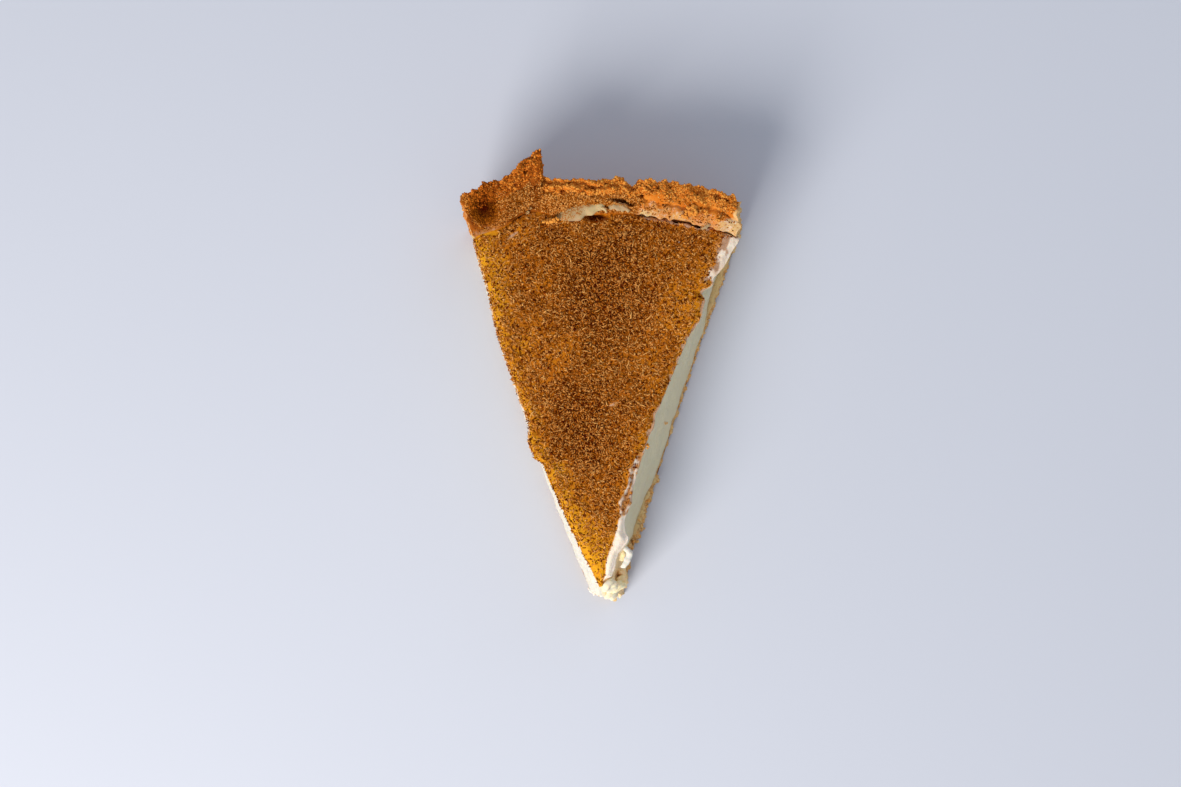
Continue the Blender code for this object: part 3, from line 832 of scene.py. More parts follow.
def bare_skin(size, x, y, u):
    """Where the filling's skin is bare of spice, and where it is pale as well: two masks.

    It is bare where the knife dragged the spice off by the right cut, on the roll, at a few smears
    and along the gap under the lip. It is also pale along a thin line at the left cut.
    """
    left_in, right_in, seam = insets(size, x, y, u)
    uneven = rough(x, y, 0.0, 2.4, 23, 0.4)
    ragged = rough(x, y, 0.0, 1.2, 25, 0.3)
    right = ramp(x, *LIP_START) * ramp(x, *LIP_END)
    gap = smooth((2.0 * right - seam + uneven) / 1.2) * (right > 0.1)
    line = ramp(y, *LINE_START) * ramp(y, *LINE_END) * ramp(left_in + 0.4 * ragged, *LINE_WIDTH)
    masks = [(gap, line), dragged_skin(x, y, right_in, uneven, ragged), roll_skin(x, y, right_in, ragged)]
    masks += [smeared_skin(x, y, uneven, *smear) for smear in SMEARS]
    bare, pale = zip(*masks)
    return np.maximum.reduce(bare), np.maximum.reduce(pale)


def spice_cover(size, x, y, u):
    """How thickly ground spice covers the filling's top, from 0 to 1.

    It is thickest in two patches along the slice's middle, thins towards the cuts and the tip, and
    stops short of the edge on the right and by the tip, where the knife dragged it off.
    """
    left_in, right_in, _ = insets(size, x, y, u)
    cover = SPICE_MIDDLE - LESS_LEFT[0] * np.exp(-left_in / LESS_LEFT[1])
    cover = cover - LESS_RIGHT[0] * np.exp(-right_in / LESS_RIGHT[1])
    cover = cover + sum(amount * dent(x, y, middle, halves) for middle, halves, amount in ZONES)
    cover = cover + rough(x, y, 0.0, 14.0, 15, 0.05) + rough(x, y, 0.0, 5.0, 16, 0.06)
    cover = cover * mix(mix(*TIP_ACROSS, ramp(u, *TIP_SIDE)), 1.0, ramp(y, *SPICE_TIP))
    uneven = rough(x, y, 0.0, 2.4, 17, 0.3)
    width = np.interp(y, *ROLL_WIDTH)
    left_edge = ramp(left_in + uneven, *SPICE_LEFT)
    right_edge = ramp(right_in - width + uneven, *SPICE_RIGHT)
    groove = (y > GROOVE_START) * (width > 0.0)
    clear = (1.0 - bare_skin(size, x, y, u)[0]) * (1.0 - dent(x, y, *SEAM_HOLLOW) ** 0.5)
    return np.clip(cover, 0.0, 1.0) * left_edge * np.maximum(right_edge, groove) * clear


def filling_points(size, u, v, up):
    """The filling: u across, v from the tip to the case's wall, up from its base.

    The grid is drawn closer at its edges. A point lies between the two cut faces and between the tip
    and the wall, and relief roughens the cuts, the tip and the broken corner at the tip's right. The
    last two results are u and up after they were drawn closer.
    """
    u = mix(u, 0.5 - 0.5 * np.cos(np.pi * u), 0.6)
    v = mix(v, 0.5 - 0.5 * np.cos(np.pi * v), 0.6)
    up = mix(up, np.sin(0.5 * np.pi * up), 0.7)
    z = mix(size.base_thick + FLOOR_GAP, size.filling_top, up)
    x = np.zeros_like(u)
    for _ in range(ROUNDS):
        foot = np.maximum(np.interp(x, *TIP_LINE) + TIP_GAP, ramp(x, *TIP_FOOT))
        back = np.sqrt((inner_radius(size, x, z) - SEAM_GAP) ** 2 - x**2)
        y = mix(mix(foot, TIP_TOP, up), back, v)
        left = left_cut(y, up) + LEFT_LEDGE * (1.0 - up)
        right = right_cut(y, up) - (RIGHT_LEDGE + humps(y, LEDGE_HUMPS)) * (1.0 - up)
        x = mix(left, right, u)
    gap = np.interp(x, *GAP_SHARE)
    closed = 0.7 * (1.0 - gap) * (1.0 - hump(x, *SEAM_CREASE))
    open_by = (0.45 + rough(x, 0.0, 0.0, 3.4, 26, 0.3)) * gap
    y = y + (closed - open_by) * ramp(v, *BACK_EDGE) * ramp(up, *BACK_UP)
    side = (2.0 * u - 1.0) ** 9
    x = x + side * rough(x, y, z, 9.0, 9, 0.16)
    x = x + side * rough(x, y, 0.3 * z, 2.2, 18, 0.07)
    ragged = 0.5 * lumps(x, y, z, 2.2, 60)[0] - 0.2 + rough(x, y, z, 5.0, 10, 0.35)
    y = y - (1.0 - v) ** 14 * ragged
    broken = u**6 * ramp(y, *BROKEN_CORNER) * ramp(up, *BROKEN_UP)
    x = x + broken * (1.2 * lumps(x, y, z, 2.4, 61)[0] - 0.3)
    return x, y, z + filling_relief(size, x, y, u) * up**4, u, up


# ---------------------------------------------------------------- meshes


def shell(cells):
    """The skin of a box cut into cells: points from 0 to 1 on three axes, and quads.

    Each side is a grid of two parameters. Points that sides share are merged by their number
    in the box's lattice.
    """
    steps = np.array(cells) + 1
    sides = []
    for axis, (a, b) in enumerate(((1, 2), (2, 0), (0, 1))):
        i, j = np.meshgrid(np.arange(cells[a]), np.arange(cells[b]), indexing="ij")
        for end in (0, cells[axis]):
            side = np.zeros((i.size, 4, 3), np.int64)
            side[..., axis] = end
            side[..., a] = i.reshape(-1, 1) + np.array((0, 1, 1, 0))
            side[..., b] = j.reshape(-1, 1) + np.array((0, 0, 1, 1))
            sides.append(side if end else side[:, ::-1])
    quads = np.concatenate(sides)
    number = (quads[..., 0] * steps[1] + quads[..., 1]) * steps[2] + quads[..., 2]
    kept, faces = np.unique(number, return_inverse=True)
    lattice = (kept // (steps[1] * steps[2]), kept // steps[2] % steps[1], kept % steps[2])
    places = [axis / cells[n] for n, axis in enumerate(lattice)]
    return places, faces.reshape(-1, 4)


def set_down(points):
    """Moves points from about the tart's middle to where the slice stands, inside its box."""
    return np.clip((points + np.array(TART_MIDDLE)) * MM, *np.array(CAD_BOUNDS))


def new_piece(name, points, faces, node, finish, attributes):
    """Makes a mesh object from arrays, dresses it, and lets it stand for a solid."""
    mesh = bpy.data.meshes.new(name)
    mesh.vertices.add(len(points))
    mesh.vertices.foreach_set("co", set_down(points).astype(np.float32).ravel())
    mesh.loops.add(faces.size)
    mesh.loops.foreach_set("vertex_index", faces.astype(np.int32).ravel())
    mesh.polygons.add(len(faces))
    starts = np.arange(0, faces.size, faces.shape[1], dtype=np.int32)
    mesh.polygons.foreach_set("loop_start", starts)
    mesh.polygons.foreach_set("use_smooth", np.ones(len(faces), bool))
    mesh.update(calc_edges=True)
    for key, values in attributes.items():
        layer = mesh.attributes.new(key, "FLOAT", "POINT")
        layer.data.foreach_set("value", values.astype(np.float32).ravel())
    mesh.materials.append(finish)
    piece = bpy.data.objects.new(name, mesh)
    bpy.context.scene.collection.objects.link(piece)
    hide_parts(node)
    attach(piece, "root")


def turned(shape, scales, turns, tilts, rolls):
    """Copies of a small shape, each stretched by three scales and turned three ways."""
    points = shape[None] * scales[:, None]
    for angle, (a, b) in ((rolls, (1, 2)), (tilts, (2, 0)), (turns, (0, 1))):
        cos, sin = np.cos(angle)[:, None], np.sin(angle)[:, None]
        first, second = points[..., a].copy(), points[..., b].copy()
        points[..., a] = cos * first - sin * second
        points[..., b] = sin * first + cos * second
    return points


def copies(shape, faces, places, scales, draw, lean, wobble=0.0):
    """The points and faces of many copies of a shape, each with a turn and a lean of its own."""
    number = len(places)
    turns = draw.uniform(0.0, 2.0 * np.pi, number)
    tilts = draw.uniform(-lean, lean, number)
    rolls = draw.uniform(-lean, lean, number)
    points = turned(shape, scales, turns, tilts, rolls)
    if wobble:
        points = points * draw.uniform(1.0 - wobble, 1.0 + wobble, points.shape[:2])[..., None]
    points = points + places[:, None]
    offsets = (np.arange(number) * len(shape))[:, None, None]
    return points.reshape(-1, 3), (faces[None] + offsets).reshape(-1, faces.shape[1])


def chip_shape():
    """A flat double pyramid: six points and eight faces."""
    points = np.array(((1, 0, 0), (0, 1, 0), (-1, 0, 0), (0, -1, 0), (0, 0, 1), (0, 0, -1)), float)
    faces = [(n, (n + 1) % 4, 4) for n in range(4)] + [((n + 1) % 4, n, 5) for n in range(4)]
    return points, np.array(faces)


def sliver_shape():
    """A bent splinter: four rings of four points along X, closed at both ends."""
    along = np.array((-1.0, -0.35, 0.35, 1.0))
    width = np.array((0.35, 1.0, 0.85, 0.3))
    around = np.arange(4) * np.pi / 2.0 + np.pi / 4.0
    x = np.repeat(along, 4)
    y = np.outer(width, np.cos(around)).ravel() + 1.6 * (x**2 - 0.4)
    z = np.outer(width, np.sin(around)).ravel()
    ring = np.arange(4)
    after = (ring + 1) % 4
    rows = [np.stack((ring, after, after + 4, ring + 4), 1) + 4 * n for n in range(3)]
    caps = [np.array([[3, 2, 1, 0]]), np.array([[12, 13, 14, 15]])]
    return np.stack((x, y, z), 1), np.concatenate(rows + caps)[:, ::-1]


def lump_shape():
    """A coarse ball: the twelve points and twenty faces of an icosahedron."""
    g = (1.0 + math.sqrt(5.0)) / 2.0
    points = [(0, a, b) for a in (-1, 1) for b in (-g, g)]
    points = np.array(points + [(b, 0, a) for _, a, b in points] + [(a, b, 0) for _, a, b in points])
    reach = np.linalg.norm(points[:, None] - points[None], axis=-1)
    faces = []
    for a, b, c in itertools.combinations(range(12), 3):
        if max(reach[a, b], reach[b, c], reach[a, c]) < 2.1:
            normal = np.cross(points[b] - points[a], points[c] - points[a])
            faces.append((a, b, c) if normal @ points[a] > 0.0 else (a, c, b))
    return points / np.linalg.norm(points[0]), np.array(faces)


def strip(stops, width, height, lumpy, seed):
    """A soft strip carried along a path, as points, triangles and how far aside each point is.

    The path is the polynomial through the stops. Across it stand ellipses whose half sizes are
    those given times (1 - |2t - 1|^3)^0.5 and a little unevenness. Both ends are closed.
    """
    t = np.linspace(0.0, 1.0, STRIP_STEPS + 2)
    knots = np.linspace(0.0, 1.0, len(stops))
    powers = np.polynomial.polynomial.polyfit(knots, np.array(stops), len(stops) - 1)
    path = np.polynomial.polynomial.polyval(t, powers).T
    along = np.gradient(path, axis=0)
    along /= np.linalg.norm(along, axis=1)[:, None]
    across = np.cross(along, (0.0, 0.0, 1.0))
    across /= np.linalg.norm(across, axis=1)[:, None]
    over = np.cross(across, along)
    n = np.arange(STRIP_SIDES)
    around = n * 2.0 * np.pi / STRIP_SIDES
    fade = np.sqrt(1.0 - np.abs(2.0 * t[1:-1] - 1.0) ** 3)[:, None, None]
    ring = width * np.cos(around)[:, None] * across[1:-1, None]
    ring = (ring + height * np.sin(around)[:, None] * over[1:-1, None]) * fade
    uneven = rough(*(path[1:-1, None] + ring).T, 1.4 * width, seed).T[..., None]
    spots = path[1:-1, None] + ring * (1.0 + lumpy * uneven)
    aside = np.append(np.tile(np.cos(around), STRIP_STEPS), (0.0, 0.0))
    points = np.concatenate((spots.reshape(-1, 3), path[:1], path[-1:]))
    after = (n + 1) % STRIP_SIDES
    rows = (np.arange(STRIP_STEPS - 1) * STRIP_SIDES)[:, None]
    above = rows + STRIP_SIDES
    first = np.stack((rows + n, rows + after, above + after), -1).reshape(-1, 3)
    second = np.stack((rows + n, above + after, above + n), -1).reshape(-1, 3)
    ends = np.full(STRIP_SIDES, STRIP_STEPS * STRIP_SIDES)
    last = above[-1]
    start = np.stack((ends, after, n), -1)
    end = np.stack((ends + 1, last + n, last + after), -1)
    return points, np.concatenate((first, second, start, end)), aside


def joined(parts):
    """Strips as one mesh: points, faces, how far aside, and the number of each point's strip."""
    points, faces, aside = zip(*parts)
    sizes = [len(group) for group in points]
    offsets = np.cumsum([0] + sizes[:-1])
    faces = [corners + offset for corners, offset in zip(faces, offsets)]
    owner = np.repeat(np.arange(len(parts)), sizes)
    return np.concatenate(points), np.concatenate(faces), np.concatenate(aside), owner


# ---------------------------------------------------------------- finishes


class Link:
    """A socket that shader maths can be written on, as in 1 - mask * 0.5."""

    def __init__(self, finish, socket):
        self.finish = finish
        self.socket = socket

    def maths(self, operation, first, second):
        """Adds a maths node for two sockets or numbers and wraps its result."""
        values = {0: first, 1: second}
        return self.finish.node("ShaderNodeMath", {"operation": operation}, values)

    def __add__(self, other):
        return self.maths("ADD", self, other)

    def __sub__(self, other):
        return self.maths("SUBTRACT", self, other)

    def __rsub__(self, other):
        return self.maths("SUBTRACT", other, self)

    def __mul__(self, other):
        return self.maths("MULTIPLY", self, other)

    __radd__ = __add__
    __rmul__ = __mul__


class Finish:
    """A material under construction. Its sizes and depths are in millimetres."""

    def __init__(self, name):
        self.material = bpy.data.materials.new(name)
        self.material.use_nodes = True
        self.tree = self.material.node_tree
        self.shader = self.tree.nodes["Principled BSDF"]

    def node(self, kind, settings, values, output=0):
        """Adds a node, sets its settings and then its sockets, and returns one of its outputs."""
        node = self.tree.nodes.new(kind)
        for key, value in settings.items():
            if key == "stops":
                self.set_stops(node.color_ramp, value)
            else:
                setattr(node, key, value)
        for key, value in values.items():
            self.plug(node.inputs[key], value)
        return Link(self, node.outputs[output])

    def set_stops(self, color_ramp, stops):
        """Gives a colour ramp its stops, each a position and a colour."""
        while len(color_ramp.elements) < len(stops):
            color_ramp.elements.new(1.0)
        for element, (position, tone) in zip(color_ramp.elements, stops):
            element.position = position
            element.color = (*tone, 1.0)

    def plug(self, socket, value):
        """Links a socket, or sets it."""
        if isinstance(value, Link):
            self.tree.links.new(value.socket, socket)
        else:
            socket.default_value = value

    def set(self, **values):
        """Sets or links the shader's own sockets, with _ for a space in their names."""
        for key, value in values.items():
            self.plug(self.shader.inputs[key.replace("_", " ")], value)

    def place(self):
        """A point's place in the piece's own space."""
        return self.node("ShaderNodeTexCoord", {}, {}, "Object")

    def attribute(self, name):
        """A value that the piece holds for each of its points."""
        return self.node("ShaderNodeAttribute", {"attribute_name": name}, {}, "Fac")

    def noise(self, size, detail=2.0, roughness=0.5, stretch=None):
        """Cloudy noise about size across, from 0 to 1, drawn out by stretch if it is given."""
        vector = self.place()
        if stretch:
            vector = self.node("ShaderNodeMapping", {}, {"Vector": vector, "Scale": stretch})
        scale = 1.0 / (size * MM)
        values = {"Vector": vector, "Scale": scale, "Detail": detail, "Roughness": roughness}
        return self.node("ShaderNodeTexNoise", {}, values, "Fac")

    def cells(self, size):
        """The distance to the nearest of seeded points about size apart."""
        values = {"Vector": self.place(), "Scale": 1.0 / (size * MM)}
        return self.node("ShaderNodeTexVoronoi", {}, values, "Distance")

    def step(self, value, low, high):
        """0 below low, 1 above high and smooth between them."""
        values = {"Value": value, "From Min": low, "From Max": high}
        return self.node("ShaderNodeMapRange", {"interpolation_type": "SMOOTHSTEP"}, values)

    def own_tone(self, stops):
        """Each grain's or crumb's own tone as a colour between the stops."""
        return self.node("ShaderNodeValToRGB", {"stops": stops}, {"Fac": self.attribute("tone")})

    def blend(self, share, first, second, how="MIX"):
        """Two colours mixed by a share from 0 to 1."""
        settings = {"data_type": "RGBA", "blend_type": how}
        values = {0: share, 6: self.solid(first), 7: self.solid(second)}
        return self.node("ShaderNodeMix", settings, values, 2)

    def cover(self, under, over, mask, low, high, most=1.0):
        """A colour that covers another as a mask goes from low to high, with a share at most."""
        share = self.step(mask, low, high)
        return self.blend(share if most == 1.0 else share * most, under, over)

    def solid(self, tone):
        """A colour as a socket takes it: a link as it is, or three numbers as opaque."""
        return tone if isinstance(tone, Link) else (*tone, 1.0)

    def relief(self, height, depth, normal=None):
        """Tilts the surface as if it rose by height times depth, on top of an earlier relief."""
        values = {"Height": height, "Distance": depth * MM, "Strength": 1.0}
        if normal:
            values["Normal"] = normal
        return self.node("ShaderNodeBump", {}, values)


def dimmed(tone, share):
    """A colour with each of its parts times a share."""
    return tuple(share * part for part in tone)


def mix_tone(first, second):
    """The colour half way between two others."""
    return tuple(0.5 * (a + b) for a, b in zip(first, second))


def filling_finish(tint):
    """Set custard: cream where it is cut, golden skin on top, stained by the spice on it."""
    f = Finish("custard")
    skin = f.attribute("skin")
    spice = f.attribute("spice")
    bare = f.attribute("bare")
    cloud = f.noise(7, 3.0)
    speck = f.noise(0.9, 3.0, 0.7)
    grain = f.noise(0.38, 2.0, 0.7)
    streak = f.noise(1.6, 4.0, 0.6, (1.0, 0.35, 1.0))
    pores = f.cells(1.1)
    # The right cut is painted with the tint of shade.
    side = f.blend(f.attribute("right"), tint.cream, tint.cream_shade)
    side = f.cover(side, dimmed(tint.cream_shade, 0.88), streak, 0.35, 0.75, 0.45)
    side = f.cover(side, dimmed(tint.crumb, 0.95), cloud, 0.6, 0.8, 0.25)
    # By the tip the right cut turns to a warm painted shade.
    side = f.blend(f.attribute("warm") * 0.85, side, tint.warm)
    gold = f.cover(tint.gold, dimmed(tint.gold, 0.88), cloud, 0.3, 0.7)
    gold = f.cover(gold, tint.amber, grain, 0.52, 0.66, 0.6)
    dusty = f.cover(tint.amber, dimmed(tint.amber, 0.7), speck, 0.35, 0.6)
    dusty = f.cover(dusty, tint.stain, grain, 0.52, 0.66, 0.5)
    soaked = f.cover(dimmed(tint.stain, 1.9), tint.stain, speck, 0.4, 0.6)
    thin = f.blend(f.attribute("gold"), f.blend(0.75, gold, tint.amber), gold)
    top = f.cover(thin, dusty, spice + 0.3 * (speck - 0.5), 0.2, 0.55)
    top = f.cover(top, soaked, spice + 0.3 * (speck - 0.5), 0.5, 0.95)
    flesh = f.cover(dimmed(tint.flesh, 0.86), dimmed(tint.flesh, 0.58), cloud, 0.35, 0.65)
    flesh = f.cover(flesh, tint.stain, grain, 0.6, 0.66, 0.8)
    pale = f.attribute("pale")
    top = f.cover(top, flesh, bare + 0.4 * (speck - 0.5), 0.2, 0.8)
    milk = f.cover(tint.milk, tint.flesh, cloud, 0.45, 0.7, 0.4)
    top = f.cover(top, milk, pale + 0.3 * (speck - 0.5), 0.15, 0.85)
    edge = skin + 0.25 * (speck - 0.5)
    rind = f.cover(tint.flesh, dimmed(tint.cream, 0.92), speck, 0.4, 0.6)
    tone = f.cover(side, rind, edge, 0.12, 0.34)
    tone = f.cover(tone, top, edge, 0.45, 0.75)
    f.set(Base_Color=tone, Roughness=0.5 + 0.12 * skin, Specular_IOR_Level=0.06)
    f.set(Subsurface_Weight=0.2, Subsurface_Scale=1.6 * MM, Subsurface_Radius=(1.0, 0.65, 0.35))
    f.set(Normal=f.relief(grain, 0.12, f.relief(streak - 0.5 * pores, 0.22)))
    return f.material


def crust_finish(tint):
    """Baked shortcrust: browned crumbs, pale where it is cut, smooth and stained at the lip, with painted
    light on raised crumbs and painted shade in the cracks and pits.
    """
    f = Finish("crust")
    spice = f.attribute("spice")
    lip = f.attribute("lip")
    cloud = f.noise(4, 3.0)
    fine = f.noise(0.8, 3.0, 0.65)
    grit = f.noise(0.35, 2.0, 0.7)
    # Painted light and shade: raised crumbs go towards the highlight, cracks and pits towards dark, with
    # noise for real changes of bake.
    level = f.attribute("high") + 0.35 * (fine - 0.5) + 0.6 * (cloud - 0.5)
    baked = f.cover(tint.crust_low, tint.crust_mid, level, 0.02, 0.4)
    baked = f.cover(baked, tint.crust_highlight, level, 0.45, 0.95)
    pale = f.cover(dimmed(tint.crumb, 0.74), tint.crumb, level, 0.1, 0.6)
    tone = f.cover(pale, baked, f.attribute("toast") + 0.5 * (cloud - 0.5), 0.25, 0.75)
    wide = f.noise(7, 2.0)
    smear = f.cover(tint.lip, tint.crust_mid, cloud, 0.35, 0.65, 0.8)
    milk = f.cover(dimmed(tint.crumb, 0.84), dimmed(tint.milk, 0.78), fine + wide, 1.02, 1.3)
    # Pale filling on the lip, with a painted highlight by the notch.
    smear = f.cover(smear, milk, f.attribute("edge") + 0.9 * (cloud - 0.5), 0.2, 0.9)
    smear = f.cover(smear, dimmed(tint.milk, 0.8), fine, 0.52, 0.68, 0.45)
    smear = f.cover(smear, tint.crust_mid, grit, 0.5, 0.58, 0.35)
    smear = f.cover(smear, tint.crust_low, grit, 0.62, 0.68, 0.6)
    tone = f.cover(tone, smear, lip + 0.5 * (fine - 0.5) + 0.5 * (cloud - 0.5), 0.2, 0.8)
    soaked = f.cover(tint.spice_dark, tint.spice, grit, 0.38, 0.62)
    tone = f.cover(tone, soaked, spice + 0.7 * (fine - 0.5), 0.25, 0.95, 0.85)
    tone = f.blend(f.attribute("scorch"), tone, tint.scorch, "MULTIPLY")
    f.set(Base_Color=tone, Roughness=0.8, Specular_IOR_Level=0.05)
    f.set(Subsurface_Weight=0.06, Subsurface_Scale=0.8 * MM)
    f.set(Normal=f.relief(fine, 0.16, f.relief(grit, 0.1)))
    return f.material


def spice_finish(name, stops, vein=(0.05, 0.012, 0.001)):
    """Ground spice: each grain has its own tone between the stops, and dark veins."""
    f = Finish(name)
    tone = f.own_tone(stops)
    f.set(Base_Color=f.cover(tone, vein, f.noise(0.25, 1.0), 0.4, 0.7, 0.3))
    f.set(Roughness=0.75, Specular_IOR_Level=0.02)
    return f.material


def spice_finishes(tint):
    """The finishes of the kinds of spice, from the darkest powder to the palest shavings."""
    dark, middle, light = tuple(tint.spice_dark), tuple(tint.spice), tuple(tint.spice_light)
    dull = ((0.0, dark), (0.5, dimmed(dark, 1.8)), (1.0, dimmed(middle, 0.6)))
    mixed = ((0.0, dark), (0.2, dimmed(middle, 0.6)), (0.5, middle), (1.0, light))
    bright = ((0.0, middle), (0.6, mix_tone(middle, light)), (1.0, light))
    coarse = ((0.0, dimmed(dark, 1.2)), (1.0, mix_tone(dimmed(dark, 3.0), dimmed(middle, 0.5))))
    kinds = {"powder": dull, "chips": mixed, "shavings": bright, "specks": coarse}
    return {name: spice_finish(name, stops) for name, stops in kinds.items()}


def crumb_finish(tint):
    """Loose pastry crumbs, each with its own bake."""
    f = Finish("crumbs")
    low, middle, high = tuple(tint.crust_low), tuple(tint.crust_mid), tuple(tint.crust_highlight)
    tone = f.own_tone(((0.0, low), (0.25, middle), (0.55, high), (0.75, high), (1.0, tuple(tint.crumb))))
    fine = f.noise(0.4, 2.0)
    f.set(Base_Color=f.cover(tone, tint.crust_mid, fine, 0.45, 0.7, 0.35))
    f.set(Roughness=0.8, Specular_IOR_Level=0.05, Normal=f.relief(fine, 0.2))
    return f.material


def scrap_finish(tint):
    """Torn bits of filling: by the seam from pale custard to browned skin with a dust of spice,
    and by the tip from cream lifted brighter as painted light to a warm painted shade."""
    f = Finish("scraps")
    own = f.attribute("tone")
    cloud = f.noise(1.8, 3.0)
    grain = f.noise(0.4, 2.0, 0.7)
    tone = f.blend(own * 1.6, tint.torn, dimmed(tint.flesh, 0.5))
    # By the tip, cream lifted brighter and the near-white rubble are painted light on lobes in shade.
    pale = f.cover(dimmed(tint.cream, 1.06), tint.rubble, own + 0.6 * (cloud - 0.5), 0.2, 0.8)
    # Darker torn filling where the tone is higher, towards the left ends by the seam: partly browned skin,
    # partly painted shade.
    tone = f.cover(tone, dimmed(tint.torn, 0.6), cloud + 0.5 * own, 0.6, 0.95, 0.6)
    # The warm tone of the lobes that lie in shade is painted shade.
    pale = f.cover(pale, tint.warm, own, 0.6, 0.95)
    tone = f.blend(f.attribute("pale"), tone, pale)
    dust = f.cover(dimmed(tint.amber, 0.6), dimmed(tint.crumb, 0.62), grain, 0.4, 0.6)
    tone = f.cover(tone, dust, f.attribute("dust") + 0.9 * (cloud - 0.5), 0.25, 0.85, 0.9)
    specks = f.step(grain, 0.64, 0.7) * 0.7 * (1.0 - f.attribute("pale"))
    tone = f.blend(specks, tone, tint.stain)
    f.set(Base_Color=tone, Roughness=0.5, Specular_IOR_Level=0.05, Subsurface_Weight=0.12)
    f.set(Subsurface_Scale=1.2 * MM, Normal=f.relief(cloud, 0.25))
    return f.material


def floor_finish(tint):
    """A plain matt floor with the faintest mottle."""
    f = Finish("floor")
    cloud = f.noise(60, 2.0)
    f.set(Base_Color=f.blend(cloud * 0.2, tint.floor, dimmed(tint.floor, 0.96)))
    f.set(Roughness=0.7, Specular_IOR_Level=0.2)
    return f.material


# ---------------------------------------------------------------- filling and crust


def build_filling(size, tint):
    """The filling, with how much skin, bare skin and spice each point has."""
    (u, v, up), faces = shell(FILLING_CELLS)
    x, y, z, u, up = filling_points(size, u, v, up)
    bare, pale = bare_skin(size, x, y, u)
    depth = size.filling_top + filling_relief(size, x, y, u) - z
    wrap = np.where(u < 0.5, mix(*WRAP_DEPTHS, ramp(y, *WRAP_START)), WRAP_RIGHT)
    # Painted shade on the right cut, left out of the top edge by the tip, where it faces the light.
    unshaded_tip = ramp(y, *UNSHADED_TIP) * ramp(up, *UNSHADED_TIP_UP)
    shaded_right = ramp(u, *SHADED_SIDE)
    left_in, right_in, _ = insets(size, x, y, u)
    gold = np.maximum(ramp(left_in, *GOLD_LEFT), ramp(right_in, *GOLD_RIGHT))
    # The hollow before the tear is painted dark through the spice layer: painted shade.
    soaked = 0.85 * smooth(2.0 * dent(x, y, *SEAM_HOLLOW))
    layers = {
        "skin": ramp(depth - wrap - rough(x, y, z, 2.0, 19, 0.2), *SKIN_FADE),
        "spice": np.maximum(spice_cover(size, x, y, u), soaked),
        "gold": np.maximum(gold, ramp(y, *GOLD_TIP)),
        # A warm painted shade on the right cut by the tip.
        "warm": shaded_right * ramp(y, *WARM_SHADE_TIP),
        "bare": bare,
        "pale": pale,
        # How much painted shade each point of the right cut takes.
        "right": shaded_right * (1.0 - 0.8 * unshaded_tip),
    }
    new_piece("filling", np.stack((x, y, z), 1), faces, "custard", filling_finish(tint), layers)


def left_smear(x, inward):
    """Where filling is smeared on the rim's inner edge, on the left, from 0 to 1."""
    return hump(x, *LEFT_SMEAR) * ramp(inward, *SMEAR_INWARD)


def rim_spice(x, inward):
    """How thickly spice covers the rim: most of its left part, then its inner part alone."""
    left, right = rim_parts(x)
    dark = 1.1 * dent(x, inward, *LEFT_SPICE) ** 0.5
    start, width, most = FLAKE_INWARD
    flake = ramp(inward, start + ramp(x, *FLAKE_STEP), width, most)
    middle, thin = ramp(inward, *MIDDLE_SPICE), hump(inward, *RIGHT_SPICE)
    cover = mix(mix(middle, thin, right), np.maximum(dark, flake), left)
    end = ramp(x + SPICE_SLANT * (1.0 - inward), *SPICE_END) * (1.0 - 0.7 * left_smear(x, inward))
    return np.clip(cover * end + rough(x, 9.0 * inward, 0.0, 4.0, 31, 0.12), 0.0, 1.0)


def build_rim(size, finish):
    """The crust's wall and rim, with how baked, smooth and dusted each point is, and how high it
    stands among the crumbs, for painted light and shade.
    """
    (u, inward, up), faces = shell(RIM_CELLS)
    x, y, z = rim_points(size, u, inward, up)
    ends = np.minimum(u, 1.0 - u) * WIDEST
    top = ramp(up, *BAKED_TOP)
    left, right = rim_parts(x)
    left_face = mix(mix(0.6, 0.1, ramp(inward, *LEFT_INWARD)), 1.0, ramp(ends, *LEFT_BAKED))
    toast = np.where(u < 0.5, left_face, ramp(ends, *RIGHT_BAKED))
    # The left part is scorched, and darker still over its hollow.
    scorch = 0.42 + ramp(x, *SCORCH_STEP) + 1.1 * dent(x, inward, *LEFT_HOLLOW_DARK) ** 0.6
    smear = 0.7 * left_smear(x, inward)
    end = ramp(x, *MILK_END)
    # By the notch the pale is a painted highlight.
    light = 0.35 + hump(x, *NOTCH_HIGHLIGHT) + 0.4 * end
    start, width = MILK_INWARD
    milk = right * ramp(inward, start - 0.3 * end, width) * light
    layers = {
        "toast": np.maximum(toast, 0.9 * top * (1.0 - 0.5 * right)),
        "spice": rim_spice(x, inward) * top,
        "lip": np.maximum(lip_share(x, inward), smear) * ramp(up, *LIP_UP),
        "edge": np.maximum(milk, 0.5 * smear),
        "scorch": left * np.clip(scorch, 0.0, 1.2) * mix(0.4, 1.0, top),
        # How high a point stands among the crumbs, lower in the pits: painted light and shade.
        "high": mix(0.55, crumb_relief(x, y, z)[1], crumbly(x, inward)) - top * pitted(x, y),
    }
    new_piece("crust_rim", np.stack((x, y, z), 1), faces[:, ::-1], "crust", finish, layers)


def build_base(size, finish):
    """The crust's flat base, pale at its cut edges and browned underneath."""
    (u, v, up), faces = shell(BASE_CELLS)
    x, y, z = base_points(size, u, v, up)
    by_tip = ramp(y, *BASE_PALE)
    layers = {
        "toast": (0.14 + ramp(up, *BASE_BAKED)) * (1.0 - by_tip),
        # How high a point stands among the crumbs, for painted light and shade, and paler by the tip.
        "high": crumb_relief(x, y, z)[1] + 0.5 * by_tip,
    }
    layers.update({key: np.zeros_like(x) for key in ("spice", "lip", "edge", "scorch")})
    new_piece("crust_base", np.stack((x, y, z), 1), faces, "crust", finish, layers)


# ---------------------------------------------------------------- spice

